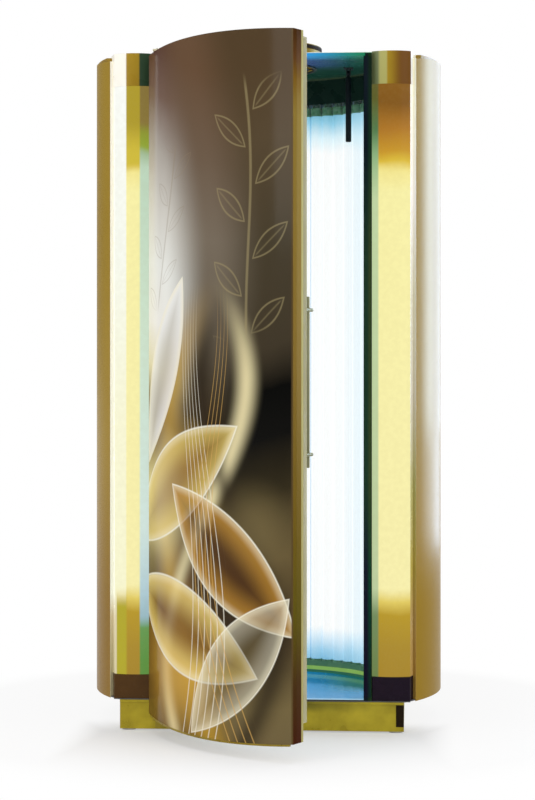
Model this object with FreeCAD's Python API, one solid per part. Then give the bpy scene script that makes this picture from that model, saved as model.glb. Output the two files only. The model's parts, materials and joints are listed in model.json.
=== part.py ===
"""Vertical tanning booth, modelled in millimetres.

Frame: +X to the right of a person who faces the booth, -Y towards that person,
+Z up. The origin is on the cabin's vertical axis, at the foot of the centre
levelling foot. The door is built closed and then turned open about its pivot.
Angles in plan are measured from the front (-Y), and grow towards +X.
"""
import FreeCAD, Part
import math
import os

Vector = FreeCAD.Vector
UP = Vector(0, 0, 1)
FULL_TURN = 360
SIDES = {"left": -1, "right": 1}

# Clearances
seat_gap = 0.3            # between parts that are assembled against each other
running_clearance = 0.05  # radial, between a shaft and its bore
cut_margin = 5.0          # how far a cutting tool passes a face
weld_overlap = 1.0        # how far fused pieces run into one another
end_play = 1.0            # past the end of a shaft, inside its bore

# Levelling feet and base frame
foot_pad_radius = 22.0
foot_pad_height = 8.0
foot_nut_radius = 11.0
foot_nut_height = 4.0
foot_stem_radius = 6.0
foot_stem_length = 34.0
foot_inset = 24.0
channel_width = 40.0
channel_wall = 3.0
channel_height = 85.0
crossbar_width = 80.0
crossbar_thickness = 10.0

# Plinth
plinth_depth = 680.0
plinth_corner_gap = 4.0     # from its corners to the inside of the shell
plinth_sheet = 2.0
plinth_ground_gap = 5.0
nosing_height = 8.0
nosing_depth = 3.0
end_strip_width = 25.0
end_strip_height = 69.0
end_strip_thickness = 1.5

# Floor
floor_thickness = 3.0
platform_thickness = 3.0

# Cabin shell
cabin_radius = 570.0
shell_wall = 2.0
shell_drop = 2.0
shell_stand = 2.0          # above the roof sheet
shell_edge_back = 21.9     # front edge, behind the columns' shoulders
seam_angle = 150.0
seam_gap = 2.0
shell_front_fall = 18.0
shell_fall_length = 300.0
roof_height = 2146.0
roof_sheet = 3.0
roof_rim_height = 12.0
roof_rim_wall = 3.0
louvre_count = 9
louvre_pitch = 22.0
louvre_width = 170.0
louvre_height = 7.0
louvre_low_centre = 420.0
louvre_head = 326.0         # centre of the upper louvres, below the roof

# Frame posts
post_width = 40.0
post_depth = 30.0
post_wall = 2.5
side_post_angle = 105.0

# Shell screws
screw_shank_radius = 3.0
screw_head_radius = 6.0
screw_head_height = 2.6
screw_length = 9.0
screw_hole_clearance = 0.3
screw_rows = 5
screw_end_distance = 65.0
screw_seam_distance = 10.0

# Lamp drum
drum_radius = 400.0
drum_centre_back = -120.0
drum_half_open = 50.0
acrylic_thickness = 3.0
lamp_radius = 19.0
lamp_glass = 0.8
lamp_pitch = 42.5
lamp_to_acrylic = 5.0
lamp_to_reflector = 6.0
reflector_thickness = 1.0
lower_socket_length = 15.0
upper_socket_length = 25.0
lamp_cap_length = 28.0
lamp_cap_reach = 1.5
socket_radius = 14.0
ring_apron = 3.0
ring_plate = 3.0
upper_apron_height = 88.0
upper_deck_drop = 70.0
lower_apron_height = 42.0
trim_thickness = 4.0
upper_trim_height = 6.0
lower_trim_height = 21.0
ballast_length = 150.0
ballast_width = 58.0
ballast_depth = 34.0
ballast_rows = 8
ballast_columns = 3
ballast_board_thickness = 2.0
ballast_board_low = 300.0
ballast_board_head = 243.0  # from the board's top to the roof sheet

# Door jambs
doorway_setback = 247.0    # from the cabin's widest place to the doorway's side
jamb_width = 25.7
jamb_depth = 73.0
jamb_wall = 2.5
jamb_setback = 5.0         # behind the plinth's front
seal_width = 22.0
seal_thickness = 6.0
seal_end_gap = 12.0

# Light columns
column_taper = 17.0
diffuser_bow = 17.0
column_wall = 2.5
diffuser_wall = 3.0
column_block_height = 76.0
column_block_edge_radius = 3.0
column_cap_height = 100.0
column_cap_wall = 1.5
column_cap_top = 4.0
column_lamp_radius = 13.0

# Roof fittings
roof_hole_radius = 150.0
collar_radius = 174.0
collar_wall = 2.0
collar_height = 65.0
collar_flange_radius = 195.0
collar_flange_thickness = 3.0
lip_seal_drop = 3.0
lip_seal_height = 12.0
lip_seal_thickness = 2.5
guard_wire = 4.0
guard_ring_count = 4
guard_spoke_count = 6
guard_rim_width = 10.0
fan_arm_width = 26.0
fan_arm_thickness = 4.0
fan_arm_height = 52.0
motor_radius = 38.0
motor_height = 24.0
motor_edge_radius = 2.0
fan_shaft_radius = 4.0
fan_shaft_engagement = 18.0
fan_hub_radius = 42.0
fan_hub_height = 12.0
fan_blade_count = 5
fan_blade_chord = 52.0
fan_blade_thickness = 2.5
fan_blade_pitch = 28.0
fan_blade_root = 4.0
fan_tip_gap = 9.0
fan_hub_gap = 4.0

# Overhead hand grips
grip_x = 265.0
grip_y = 0.0
grip_radius = 9.5
grip_length = 215.0
grip_shoulder_gap = 4.0
grip_eye_radius = 10.0
grip_eye_width = 8.0
grip_pin_radius = 3.0
grip_pin_drop = 17.0
grip_ear_thickness = 3.0
grip_ear_width = 16.0
grip_plate_length = 46.0
grip_plate_width = 30.0
grip_plate_thickness = 3.0

# Control panel
panel_height = 150.0
panel_depth = 34.0
panel_thickness = 12.0
panel_centre_height = 1240.0
panel_front_gap = 35.0
panel_edge_radius = 2.0
button_cap_radius = 10.0
button_cap_thickness = 3.0
button_stem_radius = 7.0
button_stem_length = 6.0
button_bore_depth = 10.5
button_travel = 3.0
button_spacing = 46.0

# Door
door_radius = 900.0
door_overlap = 27.0        # past each side of the doorway
door_standoff = 64.0       # closed door's ends, in front of the plinth
door_foot_gap = 12.0       # above the lower bracket
door_head_gap = 11.0       # below the roof
door_arch = 16.0
door_skin = 3.0
door_return = 19.0
door_shell_depth = 64.0
door_depth = 88.0
door_profile_width = 12.0
door_leg_width = 12.0
door_leg_inset = 3.3
door_cap_height = 30.0
door_lip_height = 6.0      # gold lip of the lower cap, below the skin
door_lip_depth = 8.0
door_box_foot = 52.0
door_box_head = 15.0
door_box_cap = 18.0
door_cap_side_gap = 1.3
door_trim_overreach = 50.0
door_trim_allowance = 1.0
door_lamp_to_cover = 3.0
door_lamp_to_reflector = 2.0
door_lamp_side_gap = 4.0
door_open_angle = 46.0

# Door pivots
pivot_from_outside = 28.0
pivot_from_end = 22.0
pivot_radius = 6.0
pivot_engagement = 26.0
pin_head_radius = 9.0
pin_head_height = 4.0
washer_radius = 12.0
bracket_half_width = 18.0
bracket_reach = 20.0
bracket_thickness = 6.0
lower_bracket_top = 48.0
bracket_plate_thickness = 3.0
bracket_plate_low = 10.0
bracket_roof_length = 70.0

# Door handle
handle_radius = 7.0
handle_length = 507.0
handle_centre_height = 1108.0
handle_from_outside = 140.0
handle_from_end = 24.0
handle_post_radius = 5.0
handle_post_inset = 40.0

# Mains inlet
gland_radius = 16.0
gland_bore_radius = 7.0
gland_length = 34.0
gland_flange_radius = 24.0
gland_flange_thickness = 5.0
gland_height = 55.0
gland_x = 300.0

# Levels and places that follow from the sizes above
opening_half_width = cabin_radius - doorway_setback
frame_low = foot_pad_height + foot_nut_height
frame_high = frame_low + channel_height
floor_top = frame_high + floor_thickness
platform_top = floor_top + platform_thickness
shell_low = frame_high - shell_drop
shell_high = roof_height + shell_stand
roof_under = roof_height - roof_sheet
louvre_high_centre = roof_height - louvre_head
shell_inside = cabin_radius - shell_wall
plinth_corner_radius = shell_inside - plinth_corner_gap
plinth_width = 2 * math.sqrt(plinth_corner_radius ** 2 - (plinth_depth / 2) ** 2)
plate_radius = shell_inside - seat_gap
plinth_front_y = -plinth_depth / 2
floor_front_y = plinth_front_y + plinth_sheet
drum_centre = Vector(0, drum_centre_back, 0)
lamp_circle = drum_radius + acrylic_thickness + lamp_to_acrylic + lamp_radius
reflector_radius = lamp_circle + lamp_radius + lamp_to_reflector
ring_outside = reflector_radius + reflector_thickness + seat_gap
upper_socket_high = roof_under - upper_deck_drop - ring_plate
lamp_low_end = floor_top + ring_plate + lower_socket_length + lamp_cap_length
lamp_high_end = upper_socket_high - upper_socket_length - lamp_cap_length
lower_cap_low = lamp_low_end - lamp_cap_length
upper_cap_high = lamp_high_end + lamp_cap_length
ballast_board_high = roof_under - ballast_board_head
jamb_front = plinth_front_y + jamb_setback
column_front = jamb_front
column_shoulder = column_front + diffuser_bow
column_back = jamb_front + jamb_depth
shell_front_y = column_shoulder + shell_edge_back
shell_front_angle = math.degrees(math.acos(-shell_front_y / cabin_radius))
column_outer_x = cabin_radius * math.sin(math.radians(shell_front_angle))
column_nose_x = column_outer_x - column_taper
column_inner_x = opening_half_width + jamb_width + seat_gap
column_low = floor_top + column_block_height
drum_front_y = column_back + seat_gap
collar_top = roof_height + collar_height
door_width = 2 * (opening_half_width + door_overlap)
door_end_front = plinth_front_y - door_standoff
door_low_end = lower_bracket_top + door_foot_gap
door_high_end = roof_height - door_head_gap
door_box_low = door_low_end + door_box_foot
door_box_high = door_high_end - door_box_head
door_half_angle = math.degrees(math.asin(door_width / 2 / door_radius))
door_centre = Vector(0, door_end_front + door_radius * math.cos(math.radians(door_half_angle)), 0)


def polar(radius, angle, centre=Vector(0, 0, 0), height=0.0):
    """Point at a plan angle measured from the front, on a circle about a centre."""
    turn = math.radians(angle)
    return Vector(centre.x + radius * math.sin(turn), centre.y - radius * math.cos(turn), height)


def box(low_x, high_x, low_y, high_y, low, high):
    return Part.makeBox(high_x - low_x, high_y - low_y, high - low, Vector(low_x, low_y, low))


def rod(radius, low, high, place):
    return Part.makeCylinder(radius, high - low, Vector(place.x, place.y, low), UP)


def tube(outside, inside, low, high, centre=Vector(0, 0, 0)):
    hole = rod(inside, low - cut_margin, high + cut_margin, centre)
    return rod(outside, low, high, centre).cut(hole)


def prism(points, low, high):
    """Upright prism on a closed outline of straight sides."""
    corners = [Vector(x, y, low) for x, y in points]
    face = Part.Face(Part.makePolygon(corners + corners[:1]))
    return face.extrude(UP * (high - low))


def ring_sector(inside, outside, start, stop, low, high, centre=Vector(0, 0, 0)):
    """Curved wall between two radii and two plan angles."""
    middle = (start + stop) / 2
    outer_arc = Part.Arc(polar(outside, start, centre, low), polar(outside, middle, centre, low),
                         polar(outside, stop, centre, low)).toShape()
    inner_arc = Part.Arc(polar(inside, stop, centre, low), polar(inside, middle, centre, low),
                         polar(inside, start, centre, low)).toShape()
    far_side = Part.makeLine(polar(outside, stop, centre, low), polar(inside, stop, centre, low))
    near_side = Part.makeLine(polar(inside, start, centre, low), polar(outside, start, centre, low))
    outline = Part.Wire([outer_arc, far_side, inner_arc, near_side])
    return Part.Face(outline).extrude(UP * (high - low))


def behind(shape, front):
    """Keep what lies behind a plane across the cabin."""
    bounds = shape.BoundBox
    tool = box(bounds.XMin - cut_margin, bounds.XMax + cut_margin, front, bounds.YMax + cut_margin,
               bounds.ZMin - cut_margin, bounds.ZMax + cut_margin)
    return shape.common(tool)


def mirrored(shape):
    return shape.mirror(Vector(0, 0, 0), Vector(1, 0, 0))


def on_side(shape, side):
    """A part drawn on the right, placed on its own side."""
    if side > 0:
        return shape
    return mirrored(shape)


def save(name, *solids):
    """Write one sub-part, as one solid or as a group of separate solids."""
    pieces = []
    for solid in solids:
        pieces.extend(solid.Solids)
    shape = pieces[0] if len(pieces) == 1 else Part.makeCompound(pieces)
    shape.exportStep(os.path.join("parts", name + ".step"))


# ---------------------------------------------------------------- base

def foot_places():
    across = plinth_width / 2 - plinth_sheet - foot_inset
    along = plinth_depth / 2 - plinth_sheet - foot_inset
    corners = [Vector(x, y, 0) for x in (-across, across) for y in (-along, along)]
    return corners + [Vector(0, 0, 0)]


def levelling_feet():
    feet = []
    for place in foot_places():
        pad = rod(foot_pad_radius, 0, foot_pad_height, place)
        rim = [edge for edge in pad.Edges if edge.BoundBox.ZMin > foot_pad_height / 2]
        pad = pad.makeChamfer(foot_pad_height / 4, [rim[0]])
        nut_points = [polar(foot_nut_radius, 60 * corner, place) for corner in range(6)]
        nut = prism([(point.x, point.y) for point in nut_points], foot_pad_height, frame_low)
        stem = rod(foot_stem_radius, foot_pad_height, foot_pad_height + foot_stem_length, place)
        feet.append(pad.fuse([nut, stem]).removeSplitter())
    return feet


def base_frame():
    """Inward-facing channel round the plinth, with a crossbar over the centre foot."""
    half_x = plinth_width / 2 - plinth_sheet
    half_y = plinth_depth / 2 - plinth_sheet
    frame = box(-half_x, half_x, -half_y, half_y, frame_low, frame_high)
    inner_x = half_x - channel_width
    inner_y = half_y - channel_width
    window = box(-inner_x, inner_x, -inner_y, inner_y, frame_low - cut_margin, frame_high + cut_margin)
    web_x = half_x - channel_wall
    web_y = half_y - channel_wall
    throat = box(-web_x, web_x, -web_y, web_y, frame_low + channel_wall, frame_high - channel_wall)
    crossbar = box(-web_x, web_x, -crossbar_width / 2, crossbar_width / 2,
                   frame_low, frame_low + crossbar_thickness)
    frame = frame.cut(window).cut(throat).fuse(crossbar)
    for place in foot_places():
        hole = rod(foot_stem_radius + seat_gap, frame_low - cut_margin,
                   frame_low + crossbar_thickness + cut_margin, place)
        frame = frame.cut(hole)
    cable_hole = Part.makeCylinder(gland_radius + seat_gap, channel_width,
                                   Vector(gland_x, plinth_depth / 2, gland_height), Vector(0, -1, 0))
    return frame.cut(cable_hole).removeSplitter()


def plinth_front():
    half_x = plinth_width / 2
    sheet = box(-half_x, half_x, plinth_front_y, floor_front_y, plinth_ground_gap, frame_high)
    nosing = box(-half_x, half_x, plinth_front_y - nosing_depth, plinth_front_y,
                 frame_high - nosing_height, frame_high)
    return sheet.fuse(nosing).removeSplitter()


def plinth_skirt():
    """Sides and back of the plinth, as one folded sheet."""
    half_x = plinth_width / 2
    back = plinth_depth / 2
    start = floor_front_y + seat_gap
    skirt = box(-half_x, half_x, start, back, plinth_ground_gap, frame_high)
    inside = box(-half_x + plinth_sheet, half_x - plinth_sheet, start - cut_margin, back - plinth_sheet,
                 plinth_ground_gap - cut_margin, frame_high + cut_margin)
    hole = Part.makeCylinder(gland_radius + seat_gap, 2 * cut_margin,
                             Vector(gland_x, back + cut_margin, gland_height), Vector(0, -1, 0))
    return skirt.cut(inside).cut(hole)


def plinth_end_strip():
    """Rubber strip that covers the joint at the right end of the plinth's front."""
    high = frame_high - nosing_height - seat_gap
    low = max(high - end_strip_height, plinth_ground_gap)
    return box(plinth_width / 2 - end_strip_width, plinth_width / 2,
               plinth_front_y - end_strip_thickness, plinth_front_y, low, high)


def mains_gland():
    """Cable gland through the back of the plinth, with nothing in its bore."""
    back = Vector(gland_x, plinth_depth / 2, gland_height)
    outward = Vector(0, 1, 0)
    start = back - outward * (gland_length - gland_flange_thickness)
    body = Part.makeCylinder(gland_radius, gland_length, start, outward)
    flange = Part.makeCylinder(gland_flange_radius, gland_flange_thickness, back, outward)
    bore = Part.makeCylinder(gland_bore_radius, gland_length + 2 * cut_margin,
                             start - outward * cut_margin, outward)
    return body.fuse(flange).cut(bore).removeSplitter()


def column_outline(side):
    """Footprint of a light column, with a straight front at its shoulders."""
    points = [(column_inner_x, column_back), (column_outer_x, column_back),
              (column_nose_x, column_shoulder), (column_nose_x, column_front),
              (column_inner_x, column_front)]
    return [(side * x, y) for x, y in points]


def floor_plate():
    disc = behind(rod(plate_radius, frame_high, floor_top, Vector(0, 0, 0)), floor_front_y)
    for side in SIDES.values():
        disc = disc.fuse(prism(column_outline(side), frame_high, floor_top))
    return disc.removeSplitter()


def standing_platform():
    """Glossy sheet that the user stands on, cut to the drum and the doorway."""
    radius = drum_radius - ring_apron - seat_gap
    disc = behind(rod(radius, floor_top, platform_top, drum_centre), drum_front_y)
    step_x = opening_half_width - seat_gap
    step = box(-step_x, step_x, floor_front_y, drum_front_y, floor_top, platform_top)
    return disc.fuse(step).removeSplitter()


# ---------------------------------------------------------------- shells and roof

def column_wall_radius(angle):
    """Distance from the cabin axis to a column's outer wall, along a plan angle."""
    direction = polar(1.0, angle)
    run_x = column_outer_x - column_nose_x
    run_y = column_back - column_shoulder
    return (column_nose_x * run_y - column_shoulder * run_x) / (direction.x * run_y - direction.y * run_x)


def falling_top(shell):
    """Lower the top edge of a side shell gently towards the door."""
    high = shell_high
    begin = Vector(0, 0, high)
    middle = Vector(0, -shell_fall_length / 2, high - shell_front_fall / 4)
    end = Vector(0, -shell_fall_length, high - shell_front_fall)
    beyond = Vector(0, -cabin_radius, high - shell_front_fall)
    over = high + cut_margin
    edges = [Part.Arc(begin, middle, end).toShape(), Part.makeLine(end, beyond),
             Part.makeLine(beyond, Vector(0, -cabin_radius, over)),
             Part.makeLine(Vector(0, -cabin_radius, over), Vector(0, 0, over)),
             Part.makeLine(Vector(0, 0, over), begin)]
    tool = Part.Face(Part.Wire(edges)).extrude(Vector(2 * cabin_radius, 0, 0))
    return shell.cut(tool)


def screw_heights():
    low = shell_low + screw_end_distance
    high = shell_high - screw_end_distance
    step = (high - low) / (screw_rows - 1)
    return [low + row * step for row in range(screw_rows)]


def screw_angles():
    """Plan angles of the right-hand screw columns: side shell first, then rear cover."""
    offset = math.degrees(screw_seam_distance / cabin_radius)
    return {"side": [side_post_angle, seam_angle - offset], "rear": [seam_angle + offset]}


def radial_rod(radius, inside, outside, angle, height):
    start = polar(inside, angle, height=height)
    return Part.makeCylinder(radius, outside - inside, start, polar(1.0, angle))


def drilled(shell, angles):
    """Clearance holes for the screws of one shell."""
    for angle in angles:
        for height in screw_heights():
            hole = radial_rod(screw_shank_radius + screw_hole_clearance, shell_inside - cut_margin,
                              cabin_radius + cut_margin, angle, height)
            shell = shell.cut(hole)
    return shell


def side_shell(side):
    half_seam = math.degrees(seam_gap / 2 / cabin_radius)
    high = shell_high
    wall = ring_sector(shell_inside, cabin_radius, shell_front_angle, seam_angle - half_seam,
                       shell_low, high)
    flange_angle = math.degrees(shell_wall / cabin_radius)
    flange_inside = column_wall_radius(shell_front_angle) + seat_gap
    flange = ring_sector(flange_inside, shell_inside, shell_front_angle,
                         shell_front_angle + flange_angle, floor_top + seat_gap, high)
    shell = falling_top(wall.fuse(flange).removeSplitter())
    return on_side(drilled(shell, screw_angles()["side"]), side)


def rear_cover():
    half_seam = math.degrees(seam_gap / 2 / cabin_radius)
    cover = ring_sector(shell_inside, cabin_radius, seam_angle + half_seam,
                        FULL_TURN - seam_angle - half_seam, shell_low, shell_high)
    rear = screw_angles()["rear"]
    cover = drilled(cover, rear + [FULL_TURN - angle for angle in rear])
    for centre_height in (louvre_low_centre, louvre_high_centre):
        for row in range(louvre_count):
            middle = centre_height + (row - (louvre_count - 1) / 2) * louvre_pitch
            slot = box(-louvre_width / 2, louvre_width / 2, 0, cabin_radius + cut_margin,
                       middle - louvre_height / 2, middle + louvre_height / 2)
            cover = cover.cut(slot)
    return cover


def shell_screws():
    """Button-head screws that hold the shells to the frame posts."""
    screws = []
    right = screw_angles()["side"] + screw_angles()["rear"]
    for angle in right + [FULL_TURN - angle for angle in right]:
        for height in screw_heights():
            head = radial_rod(screw_head_radius, cabin_radius, cabin_radius + screw_head_height,
                              angle, height)
            shank = radial_rod(screw_shank_radius, cabin_radius - screw_length,
                               cabin_radius + weld_overlap, angle, height)
            screws.append(head.fuse(shank).removeSplitter())
    return screws


def post_angles():
    right = [side_post_angle, seam_angle]
    return right + [FULL_TURN - angle for angle in right]


def post_outside():
    """Distance from the axis to a post's flat outer face, clear of the round shells."""
    return math.sqrt(shell_inside ** 2 - (post_width / 2) ** 2) - seat_gap


def frame_posts():
    """Open-ended square tubes that carry the roof and the shells."""
    posts = []
    for angle in post_angles():
        outside = post_outside()
        post = box(-post_width / 2, post_width / 2, -outside, -outside + post_depth,
                   floor_top, roof_under)
        hollow = box(-post_width / 2 + post_wall, post_width / 2 - post_wall,
                     -outside + post_wall, -outside + post_depth - post_wall,
                     floor_top - cut_margin, roof_under + cut_margin)
        post = post.cut(hollow)
        post.rotate(Vector(0, 0, 0), UP, angle)
        for height in screw_heights():
            for screw_angle in screw_angles()["side"] + screw_angles()["rear"]:
                for turned in (screw_angle, FULL_TURN - screw_angle):
                    if abs(turned - angle) < math.degrees(post_width / 2 / cabin_radius):
                        tool = radial_rod(screw_shank_radius + running_clearance,
                                          cabin_radius - screw_length - end_play, cabin_radius,
                                          turned, height)
                        post = post.cut(tool)
        posts.append(post)
    return posts


def roof_outline(radius, front, grow, low, high):
    """Round sheet with a straight front, notched for the two light columns."""
    sheet = behind(rod(radius, low, high, Vector(0, 0, 0)), front)
    for side in SIDES.values():
        points = [(column_inner_x - grow, column_back + grow), (cabin_radius + grow, column_back + grow),
                  (cabin_radius + grow, -cabin_radius), (column_inner_x - grow, -cabin_radius)]
        notch = prism([(side * x, y) for x, y in points], low - cut_margin, high + cut_margin)
        sheet = sheet.cut(notch)
    return sheet


def roof_panel():
    """Roof sheet with a folded rim, and the hole that the fan draws through."""
    low = roof_height - roof_rim_height
    body = roof_outline(plate_radius, floor_front_y, seat_gap, low, roof_height)
    grow = roof_rim_wall + seat_gap
    front = floor_front_y + roof_rim_wall
    hollow = roof_outline(plate_radius - roof_rim_wall, front, grow, low - cut_margin, roof_under)
    hole = rod(roof_hole_radius, low - cut_margin, roof_height + cut_margin, Vector(0, 0, 0))
    roof = body.cut(hollow).cut(hole)
    for tool in rim_gaps():
        roof = roof.cut(tool)
    return roof.removeSplitter()


def rim_gaps():
    """Room in the roof's rim for the posts, the jambs and the lamp drum."""
    low = roof_height - roof_rim_height - cut_margin
    drum_inside = drum_radius - ring_apron - trim_thickness - 2 * seat_gap
    tools = [ring_sector(drum_inside, ring_outside + seat_gap, drum_half_open, FULL_TURN - drum_half_open,
                         low, roof_under, drum_centre)]
    for angle in post_angles():
        outside = post_outside()
        tool = box(-post_width / 2 - seat_gap, post_width / 2 + seat_gap, -outside - cut_margin,
                   -outside + post_depth + seat_gap, low, roof_under)
        tool.rotate(Vector(0, 0, 0), UP, angle)
        tools.append(tool)
    for side in SIDES.values():
        inner = opening_half_width - seat_gap
        outer = opening_half_width + jamb_width + 2 * cut_margin
        tool = box(inner, outer, jamb_front - seat_gap, jamb_front + jamb_depth + seat_gap,
                   low, roof_under)
        tools.append(on_side(tool, side))
    return tools


def exhaust_collar():
    wall = tube(collar_radius, collar_radius - collar_wall, roof_height, collar_top)
    flange = tube(collar_flange_radius, collar_radius - collar_wall, roof_height,
                  roof_height + collar_flange_thickness)
    return wall.fuse(flange).removeSplitter()


def collar_seal():
    high = collar_top - lip_seal_drop
    return tube(collar_radius + lip_seal_thickness, collar_radius, high - lip_seal_height, high)


# ---------------------------------------------------------------- fan

def fan_bracket():
    """Four arms inside the collar, joined by the plate that the motor hangs from."""
    low = roof_height + fan_arm_height
    high = low + fan_arm_thickness
    reach = collar_radius - collar_wall - seat_gap
    plate = rod(motor_radius, low, high, Vector(0, 0, 0))
    arm_x = box(-reach, reach, -fan_arm_width / 2, fan_arm_width / 2, low, high)
    arm_y = box(-fan_arm_width / 2, fan_arm_width / 2, -reach, reach, low, high)
    cross = plate.fuse([arm_x, arm_y]).removeSplitter()
    return cross.common(rod(reach, low - cut_margin, high + cut_margin, Vector(0, 0, 0)))


def motor_low():
    return roof_height + fan_arm_height - motor_height


def fan_motor():
    body = rod(motor_radius, motor_low(), roof_height + fan_arm_height, Vector(0, 0, 0))
    rims = [edge for edge in body.Edges if len(edge.Vertexes) == 1]
    body = body.makeFillet(motor_edge_radius, rims)
    bore = rod(fan_shaft_radius + running_clearance, motor_low() - cut_margin,
               motor_low() + fan_shaft_engagement + end_play, Vector(0, 0, 0))
    return body.cut(bore)


def fan_rotor():
    """Pitched blades on a hub below the motor, with the shaft that runs in it."""
    hub_high = motor_low() - fan_hub_gap
    hub_low = hub_high - fan_hub_height
    hub = rod(fan_hub_radius, hub_low, hub_high, Vector(0, 0, 0))
    shaft = rod(fan_shaft_radius, hub_low, motor_low() + fan_shaft_engagement, Vector(0, 0, 0))
    tip = collar_radius - collar_wall - fan_tip_gap
    blades = []
    for number in range(fan_blade_count):
        blade = box(fan_hub_radius - fan_blade_root, tip + fan_blade_chord, -fan_blade_chord / 2,
                    fan_blade_chord / 2, -fan_blade_thickness / 2, fan_blade_thickness / 2)
        blade.rotate(Vector(0, 0, 0), Vector(1, 0, 0), fan_blade_pitch)
        blade.translate(Vector(0, 0, (hub_low + hub_high) / 2))
        blade.rotate(Vector(0, 0, 0), UP, FULL_TURN * number / fan_blade_count)
        blades.append(blade)
    reach = fan_blade_chord
    sweep = tube(tip, fan_hub_radius - fan_blade_root / 2, hub_low - reach, hub_high + reach)
    trimmed = [blade.common(sweep) for blade in blades]
    return hub.fuse([shaft] + trimmed).removeSplitter()


def fan_guard():
    """Flat wire guard under the roof hole: rings and spokes in a wide rim."""
    low = roof_under - guard_wire
    rim = tube(roof_hole_radius + guard_rim_width, roof_hole_radius, low, roof_under)
    pieces = []
    for number in range(guard_ring_count):
        radius = roof_hole_radius * (number + 0.5) / guard_ring_count
        pieces.append(tube(radius + guard_wire / 2, radius - guard_wire / 2, low, roof_under))
    reach = roof_hole_radius + guard_rim_width / 2
    for number in range(guard_spoke_count):
        spoke = box(roof_hole_radius / guard_ring_count / 2, reach, -guard_wire / 2, guard_wire / 2,
                    low, roof_under)
        spoke.rotate(Vector(0, 0, 0), UP, FULL_TURN * number / guard_spoke_count)
        pieces.append(spoke)
    return rim.fuse(pieces).removeSplitter()


# ---------------------------------------------------------------- lamp drum

def drum_sector(inside, outside, low, high):
    """Wall round the lamp drum, open to the front between the light columns."""
    wall = ring_sector(inside, outside, drum_half_open, FULL_TURN - drum_half_open, low, high, drum_centre)
    return behind(wall, drum_front_y)


def lamp_angles():
    """Plan angles of the cabin lamps about the drum's centre, spaced evenly."""
    reach = drum_front_y - drum_centre_back + lamp_radius + lamp_to_acrylic
    first = math.degrees(math.acos(-reach / lamp_circle))
    span = FULL_TURN - 2 * first
    count = int(math.radians(span) * lamp_circle / lamp_pitch) + 1
    return [first + span * number / (count - 1) for number in range(count)]


def lamp_places():
    return [polar(lamp_circle, angle, drum_centre) for angle in lamp_angles()]


def lamp_groups():
    """Lamps of the left, rear and right service sections."""
    angles = lamp_angles()
    places = lamp_places()
    third = len(angles) // 3
    return {"right": places[:third], "rear": places[third:len(angles) - third],
            "left": places[len(angles) - third:]}


def glass_tube(radius, low, high, place):
    return tube(radius, radius - lamp_glass, low, high, place)


def lamps(section):
    return [glass_tube(lamp_radius, lamp_low_end, lamp_high_end, place)
            for place in lamp_groups()[section]]


def lamp_caps():
    """Metal end caps that close the glass of each cabin lamp."""
    caps = []
    for place in lamp_places():
        caps.append(rod(lamp_radius + lamp_cap_reach, lower_cap_low, lamp_low_end, place))
        caps.append(rod(lamp_radius + lamp_cap_reach, lamp_high_end, upper_cap_high, place))
    return caps


def lamp_sockets():
    """Sockets between the lamp caps and the decks of the two lamp rings."""
    sockets = []
    for place in lamp_places():
        sockets.append(rod(socket_radius, floor_top + ring_plate, lower_cap_low, place))
        sockets.append(rod(socket_radius, upper_cap_high, upper_socket_high, place))
    return sockets


def upper_lamp_ring():
    """Apron that hides the lamp ends, with the deck that their sockets hang from."""
    apron = drum_sector(drum_radius - ring_apron, drum_radius, roof_under - upper_apron_height, roof_under)
    deck = drum_sector(drum_radius - ring_apron, ring_outside, upper_socket_high,
                       upper_socket_high + ring_plate)
    return apron.fuse(deck).removeSplitter()


def lower_lamp_ring():
    apron = drum_sector(drum_radius - ring_apron, drum_radius, floor_top, floor_top + lower_apron_height)
    deck = drum_sector(drum_radius - ring_apron, ring_outside, floor_top, floor_top + ring_plate)
    return apron.fuse(deck).removeSplitter()


def trim_rings():
    """Narrow bands along the feet and the heads of the lamp aprons."""
    outside = drum_radius - ring_apron - seat_gap
    inside = outside - trim_thickness
    lower = drum_sector(inside, outside, platform_top, platform_top + lower_trim_height)
    upper = drum_sector(inside, outside, roof_under - upper_trim_height, roof_under)
    return [lower, upper]


def lamp_reflector():
    return drum_sector(reflector_radius, reflector_radius + reflector_thickness,
                       floor_top + ring_plate, upper_socket_high)


def acrylic_panel(section):
    """Clear sheet in front of one section of lamps, held behind the two aprons."""
    angles = lamp_angles()
    third = len(angles) // 3
    first_seam = (angles[third - 1] + angles[third]) / 2
    limits = {"right": (drum_half_open, first_seam), "rear": (first_seam, FULL_TURN - first_seam),
              "left": (FULL_TURN - first_seam, FULL_TURN - drum_half_open)}
    start, stop = limits[section]
    joint = math.degrees(seat_gap / drum_radius)
    inside = drum_radius + seat_gap
    wall = ring_sector(inside, inside + acrylic_thickness, start + joint, stop - joint,
                       floor_top + ring_plate + seat_gap, upper_socket_high - seat_gap, drum_centre)
    return behind(wall, drum_front_y)


def rear_post_front():
    """Inner side of the two seam posts, where the ballast board is fixed."""
    middle = polar(post_outside() - post_depth, seam_angle)
    corner = middle + polar(post_width / 2, seam_angle + 90)
    other = middle - polar(post_width / 2, seam_angle + 90)
    return min(corner.y, other.y)


def ballast_board():
    """Folded board between the seam posts, with wings that reach their inner sides."""
    front = rear_post_front() - seat_gap - ballast_board_thickness
    centre = polar(post_outside() - post_depth, seam_angle)
    half = centre.x + post_width / 2
    return box(-half, half, front, front + ballast_board_thickness,
               ballast_board_low, ballast_board_high)


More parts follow.
